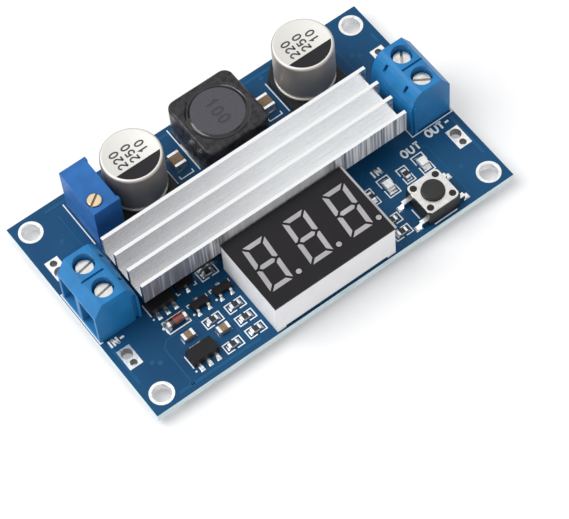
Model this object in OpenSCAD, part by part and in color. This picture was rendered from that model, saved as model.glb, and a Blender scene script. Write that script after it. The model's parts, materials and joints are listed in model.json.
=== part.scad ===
// Boost converter module: a blue circuit board with a two-pole screw terminal
// at each end, a finned heatsink over the power packages, two can capacitors,
// a shielded inductor, a trimmer, a push button and a three-digit voltmeter.
// The origin is at the bottom centre, at the tips of the soldered pins.
// +X runs from the input end to the output end, +Y to the capacitors, +Z up.

/* [Board] */
// Length of the circuit board, along X
board_l = 68; // [67:0.5:90]
// Width of the circuit board, along Y
board_w = 41; // [40:0.5:60]
// Thickness of the circuit board
board_t = 1.6; // [0.8:0.1:2.4]
// Length of the soldered pins below the board
tail_h = 1.3; // [0.9:0.1:2.5]
// Bare tip of a pin below its solder
pin_tip = 0.3; // [0.1:0.05:0.6]
// Width of the solder fillet around a pin
solder_w = 0.45; // [0.2:0.05:0.6]
// Width of the solder fillet at its lower end
solder_tip = 0.05; // [0.02:0.01:0.15]
// Clearance of a pin in its board hole
pin_clear = 0.12; // [0.05:0.01:0.25]
// Diameter of a corner mounting hole
hole_d = 3.1; // [2.2:0.1:3.4]
// Distance of a corner hole's centre from both edges
hole_inset = 2.75; // [2.4:0.05:4]
// Width of the tinned ring around a corner hole
ring_w = 0.45; // [0.3:0.05:0.7]
// Thickness of the tinned copper
copper_t = 0.05; // [0.03:0.01:0.1]

/* [Wire pads] */
// Diameter of the large hole in a wire pad
wire_hole_d = 1.9; // [1.2:0.1:2.4]
// Diameter of the small hole in a wire pad
tie_hole_d = 1.2; // [0.8:0.1:1.6]
// Width of the tin around the holes
pad_rim = 0.24; // [0.15:0.01:0.5]
// Width of the tin between the holes
pad_web = 0.3; // [0.2:0.05:0.6]
// Distance of a pad from the end of the board
pad_edge = 1.22; // [0.6:0.02:1.6]
// Distance of a pad's middle from the board's long centre line
pad_y = 9.78; // [9:0.02:10.5]

/* [Screw terminals] */
// Distance between the two poles
term_pitch = 5.08; // [5:0.01:5.5]
// Depth of the housing, from its wire side to its rear
term_depth = 7.7; // [7.4:0.1:8]
// Height of the housing
term_h = 10; // [9.4:0.1:12]
// Distance of the wire side from the end of the board
term_setback = 0.3; // [0:0.05:1]
// Shift of the output terminal from the long centre line
term_out_y = 0.2; // [-0.5:0.05:0.5]
// Distance of the screw axis from the wire side
screw_u = 3.53; // [3.3:0.01:3.8]
// Thickness of the lip above the wire entry
lip_t = 0.6; // [0.4:0.05:1]
// Run of the slope above the wire entry
slope_run = 1.6; // [0.6:0.1:1.7]
// Run of the rounded rear corner
rear_run = 2.3; // [1:0.1:2.5]
// Drop of the rounded rear corner
rear_drop = 5.5; // [2:0.1:6.5]
// Thickness of the housing's floor
term_floor = 0.6; // [0.4:0.05:1]
// Thickness of the ledge under a screw head
ledge_t = 0.55; // [0.3:0.05:0.8]
// Diameter of a screw head
head_d = 3.2; // [3:0.1:3.6]
// Clearance of a screw head in its hole
head_clear = 0.15; // [0.1:0.01:0.3]
// Depth of a screw head below the top face
head_sink = 1.2; // [0.2:0.05:1.4]
// Diameter of a screw shaft
shaft_d = 2.4; // [2:0.1:2.6]
// Running clearance between moving metal pieces
run_clear = 0.05; // [0.02:0.01:0.1]
// Width of the driver slot in a screw
slot_w = 0.55; // [0.4:0.05:0.8]
// Depth of the driver slot in a screw
slot_depth = 0.7; // [0.4:0.05:1]
// Width of a wire clamp
cage_w = 3.8; // [3.4:0.05:4]
// Depth of a wire clamp, along the wire
cage_depth = 3.5; // [3:0.05:3.7]
// Wall of a wire clamp
cage_wall = 0.6; // [0.4:0.05:0.7]
// Thickness of a clamp's threaded top
cage_top_t = 0.8; // [0.6:0.05:1]
// Clearance of a wire clamp in its chamber
cage_clear = 0.1; // [0.05:0.01:0.2]
// Room for the wire when the clamp is open
wire_gap = 2; // [1.6:0.05:2.2]
// Room left when the clamp is closed
wire_left = 0.2; // [0.1:0.05:0.4]
// Width of the contact bar
bar_w = 2; // [1.4:0.05:2.2]
// Thickness of the contact bar and its pin
bar_t = 0.8; // [0.5:0.05:1]
// Width of a contact's solder pin
contact_w = 1; // [0.7:0.05:1.2]
// Housing wall behind a contact's pin
rear_wall = 0.55; // [0.4:0.05:0.8]
// Width of the groove between the poles, and of the notch in the housing's end
groove_w = 0.35; // [0.2:0.05:0.6]
// Depth of the groove between the poles, and of the notch in the housing's end
groove_depth = 0.4; // [0.2:0.05:0.5]
// Width of the test slot behind each screw
test_w = 0.55; // [0.4:0.05:1]
// Height of the test slot
test_h = 1.3; // [0.8:0.05:1.6]
// Distance of the test slot below the top face
test_drop = 0.5; // [0.3:0.05:0.8]
// Distance of the test slot's bottom from the flat top face, towards the rear
test_in = 0.45; // [0.3:0.05:0.8]

/* [Heatsink] */
// Height of the heatsink
sink_h = 4.75; // [3:0.05:8]
// Thickness of the heatsink's base
sink_base_t = 1.1; // [0.8:0.05:2]
// Number of fins
fin_n = 4; // [3:1:5]
// Thickness of a fin
fin_t = 0.6; // [0.4:0.05:1.3]
// Gap between the input terminal and the heatsink
sink_gap_in = 0.5; // [0.3:0.05:3]
// Gap between the output terminal and the heatsink
sink_gap_out = 1.6; // [0.3:0.05:3]
// Gap between the display and the heatsink
sink_gap_front = 0.25; // [0.15:0.05:1]
// Gap between the heatsink and the inductor
sink_gap_rear = 2.75; // [1:0.05:3.5]
// Thickness of the adhesive under the heatsink
adhesive_t = 0.15; // [0.1:0.05:0.5]
// Margin of the adhesive inside a package's outline
adhesive_rim = 0.45; // [0.2:0.05:1]

/* [Power packages] */
// Length of a package's moulded body, along X
pkg_l = 8.7; // [8:0.1:9.2]
// Distance of a package's side inside the heatsink's side
pkg_side = 0.5; // [0:0.05:1]
// Height of a package
pkg_h = 4.5; // [3.6:0.05:5]
// Length of a package's bare metal tab
tab_l = 1.3; // [0.8:0.05:1.6]
// Length of the metal tab under a package's body
tab_under = 6.5; // [5:0.1:7.5]
// Thickness of a package's metal tab
tab_t = 1.27; // [0.8:0.01:1.6]
// Reach of a package's leads
pkg_lead_l = 4.9; // [3.5:0.1:5.2]
// Width of a package's lead
pkg_lead_w = 0.8; // [0.5:0.05:1.2]
// Thickness of a package's lead
pkg_lead_t = 0.5; // [0.3:0.05:0.7]
// Distance between a package's two leads
pkg_lead_pitch = 5.08; // [4:0.02:6]
// Gap between the two packages
pkg_gap = 1.1; // [0.5:0.1:2]
// Distance of the packages behind the heatsink's middle line
pkg_back = 0.9; // [0.85:0.01:0.94]

/* [Capacitors] */
// Diameter of a capacitor can
can_d = 10; // [8:0.1:10.4]
// Height of a capacitor's top above the board
can_h = 10.2; // [7:0.1:14]
// Rim of the base around the can
base_rim = 0.15; // [0.1:0.05:0.3]
// Thickness of a capacitor's base
base_t = 1.2; // [0.8:0.1:2]
// Cut of the base's two marked corners
base_cut = 2; // [1:0.1:2.5]
// Depth of the crimped neck near the can's foot
neck_depth = 0.35; // [0.2:0.05:0.6]
// Height of the can's foot below its shoulder
foot_h = 1.7; // [1.2:0.1:2.5]
// Radius of the can's top edge
can_edge = 0.45; // [0.2:0.05:0.8]
// Width of a capacitor's lead
cap_lead_w = 1.1; // [0.6:0.1:1.6]
// Thickness of a capacitor's lead
cap_lead_t = 0.3; // [0.2:0.05:0.4]
// Reach of a capacitor's lead past its base
cap_lead_out = 0.75; // [0.3:0.05:1]

/* [Inductor] */
// Side of the square shield
ind_w = 12.1; // [11.4:0.1:12.6]
// Height of the inductor
ind_h = 7; // [5:0.1:9]
// Radius of the shield's corners
ind_r = 1.6; // [0.8:0.1:2]
// Diameter of the drum core
drum_d = 8.8; // [8.4:0.1:9.6]
// Width of the ring-shaped gap around the drum core
ring_gap = 0.7; // [0.3:0.05:0.9]
// Depth of the shield's floor
ind_floor = 0.9; // [0.6:0.1:1.4]
// Thickness of the drum core's flanges
flange_t = 1.2; // [0.8:0.1:1.6]
// Diameter of the drum core's post
post_d = 4.6; // [3.5:0.1:5.5]
// Clearance around the winding
wind_clear = 0.15; // [0.1:0.05:0.3]
// Width of an inductor terminal
ind_term_w = 5; // [3:0.1:7]
// Thickness of an inductor terminal
ind_term_t = 0.25; // [0.15:0.05:0.4]
// Length of an inductor terminal under the shield
ind_term_l = 2.6; // [1.5:0.1:4]

/* [Trimmer] */
// Width of the trimmer, along X
trim_w = 4.83; // [4.4:0.01:5.5]
// Length of the trimmer, along Y
trim_l = 9.53; // [9:0.01:10.2]
// Height of the trimmer
trim_h = 10; // [7:0.1:12]
// Height of the trimmer's feet
trim_foot = 0.4; // [0.2:0.05:0.8]
// Distance of the trimmer from the board's rear edge
trim_inset = 2.4; // [1.5:0.05:2.8]
// Depth of the recess in the trimmer's side
trim_recess = 0.25; // [0.15:0.05:0.5]
// Width of the ribs beside the recess
trim_rib = 0.7; // [0.4:0.05:1.2]
// Diameter of the adjusting screw
trim_screw_d = 2.3; // [1.8:0.05:2.5]
// Height of the adjusting screw above the top
trim_screw_up = 0.4; // [0.1:0.05:0.8]
// Depth of the adjusting screw in the trimmer
trim_screw_in = 1.6; // [1:0.1:2.5]
// Distance of the adjusting screw from the trimmer's left side
trim_screw_side = 1.5; // [1.45:0.01:2.4]
// Distance of the adjusting screw from the trimmer's front end
trim_screw_end = 2.05; // [1.5:0.05:3]
// Distance between the trimmer's pins
trim_pin_pitch = 2.54; // [2:0.01:3]
// Diameter of the trimmer's and the display's pins
thin_pin_d = 0.5; // [0.4:0.05:0.7]

/* [Display] */
// Length of the display, along X
disp_l = 22.5; // [22.4:0.1:24]
// Width of the display, along Y
disp_w = 14; // [13.6:0.1:14.4]
// Height of the display
disp_h = 7.27; // [5:0.01:9]
// Shift of the display from the board's middle
disp_x = -0.18; // [-1:0.01:1.5]
// Distance of the display from the board's front edge
disp_inset = 0.3; // [0.1:0.05:0.6]
// Height of the display's feet
disp_foot = 0.45; // [0.2:0.05:0.8]
// Length of the display's feet
disp_foot_l = 1.6; // [1:0.1:2.5]
// Thickness of the dark face
face_t = 0.4; // [0.2:0.05:0.8]
// Height of a digit
digit_h = 9; // [8:0.1:10]
// Width of a digit
digit_w = 4.4; // [4:0.1:4.8]
// Distance between digits
digit_pitch = 7.55; // [6.5:0.05:7.6]
// Width of a segment
seg_w = 1; // [0.7:0.05:1.2]
// Gap between segments
seg_gap = 0.14; // [0.08:0.01:0.25]
// Slant of the digits, in degrees
slant = 5; // [0:0.5:7]
// Diameter of a decimal point
dot_d = 1.1; // [0.7:0.05:1.2]
// Distance of a decimal point from its digit's middle
dot_x = 2.95; // [2.8:0.05:3]
// Distance between the display's pins
disp_pin_pitch = 2.54; // [2:0.01:3]
// Distance between the display's two rows of pins
disp_pin_rows = 10.16; // [8:0.01:12]

/* [Push button] */
// Side of the square switch
tact_w = 6; // [5.8:0.1:6.4]
// Height of the switch's cover
tact_h = 3.5; // [3:0.05:4.5]
// Thickness of the switch's cover
cover_t = 0.3; // [0.2:0.05:0.5]
// Radius of the cover's corners
cover_r = 0.7; // [0.3:0.05:1]
// Diameter of the button
button_d = 3.7; // [2.8:0.05:3.9]
// Height of the button above the cover
button_up = 0.7; // [0.4:0.05:3]
// Travel of the button
button_travel = 0.25; // [0.15:0.05:0.4]
// Clearance of the button in the cover
button_clear = 0.08; // [0.05:0.01:0.1]
// Width of the flange that keeps the button in
button_flange = 0.3; // [0.2:0.05:0.35]
// Thickness of that flange
button_flange_t = 0.5; // [0.3:0.05:0.7]
// Rise of the snap dome
dome_h = 0.45; // [0.3:0.05:0.6]
// Thickness of the snap dome
dome_t = 0.1; // [0.06:0.01:0.15]
// Diameter of the four rivets
rivet_d = 1.05; // [0.7:0.05:1.1]
// Distance between the rivets
rivet_pitch = 4.3; // [4.2:0.05:4.4]
// Distance between the legs on one side
leg_pitch = 4.5; // [3.5:0.1:5]
// Width of a leg
leg_w = 0.75; // [0.5:0.05:1]
// Thickness of a leg
leg_t = 0.25; // [0.15:0.05:0.35]
// Reach of a leg
leg_out = 2; // [1.2:0.1:2.4]

/* [Chips] */
// Length of a regulator's body, along X
reg_l = 4.5; // [4.2:0.05:4.7]
// Width of a regulator's body
reg_w = 2.5; // [2.2:0.05:2.7]
// Height of a regulator
reg_h = 1.5; // [1:0.05:1.8]
// Distance between a regulator's leads
reg_pitch = 1.5; // [1.2:0.05:1.7]
// Width of a regulator's lead
reg_lead_w = 0.48; // [0.3:0.02:0.6]
// Reach of a regulator's leads
reg_lead_l = 0.95; // [0.6:0.05:1.1]
// Width of a regulator's tab
reg_tab_w = 1.7; // [1:0.05:2]
// Reach of a regulator's tab
reg_tab_l = 0.55; // [0.3:0.05:0.7]
// Thickness of a regulator's leads
reg_lead_t = 0.4; // [0.2:0.02:0.5]
// Side of the controller chip
ctl_w = 3; // [2.6:0.1:3.4]
// Length of the meter chip, along X
meter_l = 6.5; // [6:0.1:6.8]
// Width of the meter chip
meter_w = 4.4; // [4:0.1:5]
// Height of the controller and meter chips
chip_h = 1; // [0.8:0.05:1.3]
// Gap under a chip's body
chip_up = 0.1; // [0.05:0.01:0.2]
// Reach of a chip's leads
chip_lead_l = 0.95; // [0.7:0.05:1.1]
// Thickness of a chip's leads
chip_lead_t = 0.15; // [0.1:0.01:0.2]
// Distance between the controller's leads
ctl_pitch = 0.5; // [0.4:0.01:0.55]
// Distance between the meter chip's leads
meter_pitch = 0.65; // [0.5:0.01:0.66]
// Width of a lead of the controller and meter chips
chip_lead_w = 0.22; // [0.15:0.01:0.3]
// Length of a small transistor's body
sot_l = 2.9; // [2.6:0.05:3.1]
// Width of a small transistor's body
sot_w = 1.3; // [1.1:0.05:1.6]
// Height of a small transistor
sot_h = 1.05; // [0.8:0.05:1.3]
// Distance between a small transistor's two leads
sot_pitch = 1.9; // [1.6:0.05:2.1]
// Width of a small transistor's lead
sot_lead_w = 0.42; // [0.3:0.02:0.5]
// Reach of a small transistor's lead
sot_lead_l = 0.62; // [0.45:0.02:0.75]

/* [Small parts] */
// Length of a chip resistor
res_l = 1.6; // [1.2:0.05:2]
// Width of a chip resistor
res_w = 0.85; // [0.6:0.05:1.1]
// Height of a chip resistor
res_h = 0.5; // [0.35:0.05:0.7]
// Length of a chip resistor's metal ends
res_end = 0.35; // [0.2:0.05:0.5]
// Length of a small ceramic capacitor
cer_l = 2; // [1.6:0.05:2.3]
// Width of a small ceramic capacitor
cer_w = 1.25; // [0.9:0.05:1.5]
// Height of a small ceramic capacitor
cer_h = 0.9; // [0.6:0.05:1.3]
// Length of a large ceramic capacitor, along Y
bulk_l = 2.6; // [2:0.05:3.2]
// Width of a large ceramic capacitor
bulk_w = 2; // [1.2:0.05:2.4]
// Height of a large ceramic capacitor
bulk_h = 1.5; // [0.8:0.05:2]
// Length of a ceramic capacitor's metal ends
cer_end = 0.45; // [0.3:0.05:0.6]
// Length of the glass diode
diode_l = 3.4; // [3:0.05:3.8]
// Diameter of the glass diode's metal caps
diode_d = 1.5; // [1.2:0.05:1.7]
// Length of a glass diode's cap
diode_cap = 0.45; // [0.3:0.05:0.6]
// Step from the glass diode's caps to its body
diode_step = 0.05; // [0.02:0.01:0.1]
// Length of an indicator lamp, along Y
led_l = 2; // [1.6:0.05:2.3]
// Width of an indicator lamp
led_w = 1.3; // [0.8:0.05:1.5]
// Length of an indicator lamp's lens
led_lens_l = 1.4; // [1:0.05:1.5]
// Height of an indicator lamp's base
led_base_h = 0.4; // [0.25:0.05:0.6]
// Height of an indicator lamp
led_h = 0.9; // [0.7:0.05:1.2]

/* [Layout] */
// Distance of the rear row's middle from the board's rear edge
row_inset = 6.65; // [6.4:0.05:7]
// Shift of the inductor from the board's middle
ind_x = 2.5; // [1:0.1:4]
// Gap between neighbours in the rear row, on the input side
row_gap_in = 1.45; // [0.9:0.05:1.6]
// Gap between neighbours in the rear row, on the output side
row_gap_out = 1.75; // [0.9:0.05:1.9]
// Gap between the trimmer and its capacitor
trim_gap = 0.58; // [0.3:0.02:1.5]
// Distance of the first column of small parts from the display
col_first = 2.35; // [2:0.05:3]
// Distance between the columns of small parts
col_step = 4.2; // [3.8:0.05:4.6]
// Distance of the front row of small parts from the front edge
small_inset = 2.75; // [2:0.05:3]
// Distance between the rows of small parts
small_step = 2.66; // [2.4:0.02:2.8]
// Distance of the first indicator's resistor from the display
lamp_first = 2.95; // [2.2:0.05:3.2]
// Distance of the last indicator from the output end of the board
lamp_end = 9.78; // [9:0.02:11]
// Distance of the indicators' row from the front edge
lamp_inset = 10.35; // [9.9:0.05:11]
// Distance of the push button's middle from the output end of the board
tact_end = 12.95; // [12:0.05:13.5]
// Distance of the push button's middle from the front edge
tact_inset = 3.78; // [3.6:0.02:4]
// Distance between the two resistors beside the push button
pair_step = 2.6; // [1.8:0.1:3.4]
// Shift of these resistors from midway between the display and the button
pair_shift = -0.54; // [-0.9:0.02:0.4]
// Distance of the sense resistor's middle behind the heatsink's front
sense_in = 0.75; // [0.6:0.01:0.8]
// Distance of the driving transistor's middle behind the heatsink's front
driver_in = 1.35; // [1.2:0.01:1.5]
// Distance of the small transistors from the rear row of small parts
sot_step = 3.4; // [3.1:0.05:3.6]
// Shift of the regulators from the third column
reg_shift = 0.35; // [0:0.05:0.6]
// Distance of the meter regulator from the front row of small parts
meter_reg_step = 1.65; // [1.3:0.05:1.9]
// Gap between the input terminal and the gate regulator
gate_reg_gap = 1.22; // [0.5:0.02:2.5]
// Reach of the gate regulator's body out from under the heatsink
gate_reg_out = 0.2; // [0:0.05:0.6]
// Gap between the gate regulator's leads and the glass diode
diode_gap = 1.4; // [0.8:0.05:1.6]
// Shift of the second small ceramic capacitor from its column and row
cer_shift = 0.35; // [0:0.05:0.5]
// Shift of the controller chip from midway between its terminal and package
ctl_shift = -0.2; // [-1:0.05:1]
// Gap between the gate regulator's tab and the controller's leads
ctl_gap = 1.9; // [0.5:0.1:2.4]
// Shift of the meter chip from midway between its package and terminal
meter_shift = -0.45; // [-1:0.05:1]
// Distance of the meter chip behind the heatsink's middle line
meter_back = 0.9; // [0.6:0.05:1.3]

/* [Hidden] */
$fn = 48;

// Overshoot of a cutting shape past the face it cuts
over = 1;

// Heights and edges of the board
top_z = tail_h + board_t;
front_y = -board_w / 2;
rear_y = board_w / 2;

// Wire pads
pad_w = wire_hole_d + 2 * pad_rim;
pad_l = wire_hole_d + tie_hole_d + 2 * pad_rim + pad_web;
pad_x = board_l / 2 - pad_edge - pad_w / 2;
wire_hole_y = pad_y - pad_l / 2 + pad_rim + wire_hole_d / 2;
tie_hole_y = pad_y + pad_l / 2 - pad_rim - tie_hole_d / 2;

// Screw terminals, measured from the wire side and from the board's top
term_l = 2 * term_pitch;
clamp_rise = wire_gap - wire_left;
cage_z = term_floor + run_clear;
bar_z = cage_z + cage_wall + wire_gap;
cage_h = cage_wall + wire_gap + bar_t + run_clear + cage_top_t;
chamber_w = cage_w + 2 * cage_clear;
chamber_u = screw_u + cage_depth / 2 + cage_clear;
chamber_top = cage_z + cage_h + clamp_rise + cage_clear;
head_z = chamber_top + ledge_t + run_clear;
head_h = term_h - head_sink - head_z;
contact_u = term_depth - rear_wall - bar_t;
bar_u = screw_u - cage_depth / 2;
contact_hole_d = norm([bar_t, contact_w]) + 2 * pin_clear;
rear_u = term_depth - rear_run;
notch_u = rear_u + rear_run / 2;
notch_w = 2 * groove_w;
notch_h = term_h - rear_drop / 2;
rib_w = notch_w - 2 * run_clear;
rib_out = groove_depth - run_clear;
// Rear faces of the two housings
term_rear = board_l / 2 - term_setback - term_depth;
// Turn of each driver slot, in degrees
slot_in_plus = 10;
slot_in_minus = 10;
slot_out_plus = 56;
slot_out_minus = -34;

// Display
disp_y = front_y + disp_inset + disp_w / 2;
disp_left = disp_x - disp_l / 2;
disp_right = disp_x + disp_l / 2;
disp_rear = disp_y + disp_w / 2;
disp_pin_n = 6;
digit_n = 3;
thin_hole_d = thin_pin_d + 2 * pin_clear;

// Heatsink, between the terminals, the display and the inductor
row_y = rear_y - row_inset;
sink_x0 = sink_gap_in - term_rear;
sink_x1 = term_rear - sink_gap_out;
sink_x = (sink_x0 + sink_x1) / 2;
sink_y0 = disp_rear + sink_gap_front;
sink_w = row_y - ind_w / 2 - sink_gap_rear - sink_y0;
sink_y = sink_y0 + sink_w / 2;
sink_z = top_z + pkg_h + adhesive_t;
fin_pitch = (sink_w - fin_t) / (fin_n - 1);

// Power packages, end to end under the heatsink
pkg_w = sink_w - 2 * pkg_side;
pkg_all = tab_l + pkg_l + pkg_lead_l;
pkg_step = pkg_all + pkg_gap;
pkg_x0 = sink_x - pkg_step / 2 - pkg_all / 2;
pkg_x1 = sink_x + pkg_step / 2 + pkg_all / 2;
pkg_lead_z = tab_t + pkg_lead_t;

// Rear row, outwards from the inductor
base_w = can_d + 2 * base_rim;
bulk_in_x = ind_x - ind_w / 2 - row_gap_in - bulk_w / 2;
cap_in_x = bulk_in_x - bulk_w / 2 - row_gap_in - base_w / 2;
bulk_out_x = ind_x + ind_w / 2 + row_gap_out + bulk_w / 2;
cap_out_x = bulk_out_x + bulk_w / 2 + row_gap_out + base_w / 2;
trim_x = cap_in_x - base_w / 2 - trim_gap - trim_w / 2;
trim_y = rear_y - trim_inset - trim_l / 2;
trim_screw_x = -trim_w / 2 + trim_screw_side;
trim_screw_y = -trim_l / 2 + trim_screw_end;
trim_slot_turn = 34;

// Inductor heights above the board
ind_bore_d = drum_d + 2 * ring_gap;
drum_z = ind_term_t + ind_floor;

// Push button
tact_x = board_l / 2 - tact_end;
tact_y = front_y + tact_inset;
button_bottom = tact_h - cover_t - run_clear - button_flange_t;
dome_z = button_bottom - button_travel - run_clear - dome_h;
flange_d = button_d + 2 * button_flange;
well_d = flange_d + 2 * button_clear;
dome_top_d = flange_d / 4;
leg_z = dome_z / 2;

// Small parts, in three columns left of the display
col_x = [for (i = [0:2]) disp_left - col_first - i * col_step];
small_y = [for (i = [0:2]) front_y + small_inset + i * small_step];
sot_y = small_y[2] + sot_step;
reg_x = col_x[2] - reg_shift;
meter_reg_y = small_y[0] + meter_reg_step;
gate_reg_x = -term_rear + gate_reg_gap + reg_l / 2;
gate_reg_y = sink_y0 + reg_w / 2 - gate_reg_out;
diode_y = gate_reg_y - reg_w / 2 - reg_lead_l - diode_gap - diode_d / 2;
lamp_x0 = disp_right + lamp_first;
lamp_step = (board_l / 2 - lamp_end - lamp_x0) / 3;
lamp_x = [for (i = [0:3]) lamp_x0 + i * lamp_step];
lamp_y = front_y + lamp_inset;
pair_x = (disp_right + tact_x - tact_w / 2) / 2 + pair_shift;
// Chip resistors: place and turn
resistor_spots = [
    [col_x[0], small_y[2], 0], [col_x[1], small_y[2], 0],
    [col_x[0], small_y[1], 0], [col_x[0], small_y[0], 0],
    [col_x[1], small_y[0], 0], [col_x[0], sink_y0 + sense_in, 0],
    [lamp_x[0], lamp_y, 90], [lamp_x[2], lamp_y, 90],
    [pair_x, tact_y + pair_step / 2, 0], [pair_x, tact_y - pair_step / 2, 0]
];
// Small transistors: place and turn
transistor_spots = [
    [col_x[0], sot_y, 0], [col_x[1], sot_y, 0], [col_x[1], sink_y0 + driver_in, 180]
];
// Small ceramic capacitors
ceramic_spots = [[reg_x, small_y[2]], [col_x[1] + cer_shift, small_y[1] + cer_shift]];
// Controller and meter chips, under the two ends of the heatsink
ctl_at = [
    (pkg_x0 - term_rear) / 2 + ctl_shift,
    gate_reg_y + reg_w / 2 + reg_tab_l + ctl_gap + chip_lead_l + ctl_w / 2
];
ctl_pins = 5;
meter_at = [(pkg_x1 + term_rear) / 2 + meter_shift, sink_y + meter_back];
meter_pins = 10;

// Common shapes

module on_board(x, y, turn = 0) {
    translate([x, y, top_z]) rotate(turn) children();
}

// A box centred on the Z axis, standing at height z
module block(l, w, h, z = 0) {
    translate([-l / 2, -w / 2, z]) cube([l, w, h]);
}

// A rectangle with round corners
module round_rect(l, w, r) {
    square([l - 2 * r, w], center = true);
    square([l, w - 2 * r], center = true);
    for (x = [-1, 1], y = [-1, 1])
        translate([x * (l / 2 - r), y * (w / 2 - r)]) circle(r);
}

// The outline drawn in the XZ plane, carried along Y over a width w
module across(w) {
    translate([0, w / 2, 0]) rotate([90, 0, 0]) linear_extrude(w) children();
}

// A lead that leaves a body at height z, drops to the board and ends in a foot
module gull_lead(reach, z, t, w) {
    knee = reach / 2;
    across(w) polygon([
        [0, z], [knee, z], [knee, 0], [reach, 0],
        [reach, t], [knee + t, t], [knee + t, z + t], [0, z + t]
    ]);
}

// The solder cone around a pin under the board, seen from the board's top
module solder(pin_d) {
    translate([0, 0, pin_tip - top_z])
        cylinder(d1 = pin_d + 2 * solder_tip, d2 = pin_d + 2 * solder_w, h = tail_h - pin_tip);
}

// A round pin through the board with its solder, reaching a height up above it
module round_pin(up) {
    translate([0, 0, -top_z]) cylinder(d = thin_pin_d, h = top_z + up);
    solder(thin_pin_d);
}

module each_corner() {
    for (x = [-1, 1], y = [-1, 1])
        translate([x * (board_l / 2 - hole_inset), y * (board_w / 2 - hole_inset)])
            children();
}

module each_wire_pad() {
    for (x = [-1, 1], y = [-1, 1])
        translate([x * pad_x, 0]) scale([1, y]) children();
}

// Board

module trimmer_pin_spots() {
    for (i = [-1:1]) translate([trim_x, trim_y + i * trim_pin_pitch]) children();
}

module display_pin_spots() {
    for (i = [0:disp_pin_n - 1], s = [-1, 1])
        translate([
            disp_x + (i - (disp_pin_n - 1) / 2) * disp_pin_pitch,
            disp_y + s * disp_pin_rows / 2
        ]) children();
}

module contact_spots() {
    for (e = [-1, 1], p = [-1, 1])
        translate([
            e * (board_l / 2 - term_setback - contact_u - bar_t / 2),
            (e > 0 ? term_out_y : 0) + p * term_pitch / 2
        ]) children();
}

module pad_holes() {
    translate([0, wire_hole_y]) circle(d = wire_hole_d);
    translate([0, tie_hole_y]) circle(d = tie_hole_d);
}

module board() {
    color([0.1, 0.3, 0.5])
        translate([0, 0, tail_h]) linear_extrude(board_t) difference() {
            square([board_l, board_w], center = true);
            each_corner() circle(d = hole_d);
            each_wire_pad() pad_holes();
            contact_spots() circle(d = contact_hole_d);
            trimmer_pin_spots() circle(d = thin_hole_d);
            display_pin_spots() circle(d = thin_hole_d);
        }
}

// A copper shape on both faces of the board
module both_faces() {
    for (z = [top_z, tail_h - copper_t])
        translate([0, 0, z]) linear_extrude(copper_t) children();
}

module corner_rings() {
    color([0.9, 0.9, 0.88]) both_faces() each_corner() difference() {
        circle(d = hole_d + 2 * ring_w);
        circle(d = hole_d);
    }
}

module wire_pads() {
    color([0.88, 0.89, 0.88]) both_faces() each_wire_pad() difference() {
        translate([-pad_w / 2, pad_y - pad_l / 2]) square([pad_w, pad_l]);
        pad_holes();
    }
}

// Screw terminals: u runs inwards from the wire side, end is -1 at the input

module at_end(end) {
    translate([end * (board_l / 2 - term_setback), end > 0 ? term_out_y : 0, top_z])
        rotate(end > 0 ? 180 : 0) children();
}

module at_pole(end, pole) {
    at_end(end) translate([0, -end * pole * term_pitch / 2, 0]) children();
}

module housing_outline() {
    round_steps = 6;
    polygon(concat(
        [[0, 0], [0, chamber_top + lip_t], [slope_run, term_h]],
        [for (i = [0:round_steps]) let (a = 90 * i / round_steps) [
            rear_u + rear_run * sin(a),
            term_h - rear_drop + rear_drop * cos(a)
        ]],
        [[term_depth, 0]]
    ));
}

module pole_cuts() {
    // Wire entry and the clamp's chamber
    translate([-over, -chamber_w / 2, term_floor])
        cube([chamber_u + over, chamber_w, chamber_top - term_floor]);
    // Screw hole and its ledge
    translate([screw_u, 0, head_z - run_clear])
        cylinder(d = head_d + 2 * head_clear, h = term_h);
    translate([screw_u, 0, chamber_top - over])
        cylinder(d = shaft_d + 2 * run_clear, h = ledge_t + 2 * over);
    // Slots for the contact bar and its pin
    translate([chamber_u - over, -bar_w / 2 - run_clear, bar_z - run_clear])
        cube([
            contact_u + bar_t + run_clear - chamber_u + over,
            bar_w + 2 * run_clear,
            bar_t + 2 * run_clear
        ]);
    translate([contact_u - run_clear, -contact_w / 2 - run_clear, -over])
        cube([bar_t + 2 * run_clear, contact_w + 2 * run_clear, bar_z + over]);
    // Test slot in the rounded rear corner
    translate([rear_u + test_in, -test_w / 2, term_h - test_drop - test_h])
        cube([rear_run, test_w, test_h]);
}

module terminal_body() {
    difference() {
        union() {
            across(term_l) housing_outline();
            // Rib that fits the notch of the next housing
            translate([notch_u + run_clear, term_l / 2 - over, 0])
                cube([rib_w, over + rib_out, notch_h - run_clear]);
        }
        for (p = [-1, 1]) translate([0, p * term_pitch / 2, 0]) pole_cuts();
        // Groove between the poles
        translate([-over, -groove_w / 2, term_h - groove_depth])
            cube([rear_u + over, groove_w, term_h]);
        // Notch that joins housings side by side
        translate([notch_u, -term_l / 2 - over, -over])
            cube([notch_w, groove_depth + over, notch_h + over]);
    }
}

module terminal_contacts() {
    for (p = [-1, 1]) translate([0, p * term_pitch / 2, 0]) {
        translate([bar_u, -bar_w / 2, bar_z])
            cube([contact_u + bar_t - bar_u, bar_w, bar_t]);
        translate([contact_u, -contact_w / 2, -top_z])
            cube([bar_t, contact_w, top_z + bar_z + bar_t / 2]);
        translate([contact_u + bar_t / 2, 0, 0]) solder(norm([bar_t, contact_w]));
    }
}

module terminal_screw(turn) {
    translate([screw_u, 0, 0]) difference() {
        union() {
            translate([0, 0, head_z]) cylinder(d = head_d, h = head_h);
            translate([0, 0, bar_z + bar_t + run_clear])
                cylinder(d = shaft_d, h = head_z + head_h / 2 - bar_z - bar_t);
        }
        rotate(turn) block(head_d + over, slot_w, slot_depth + over, head_z + head_h - slot_depth);
    }
}

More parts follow.
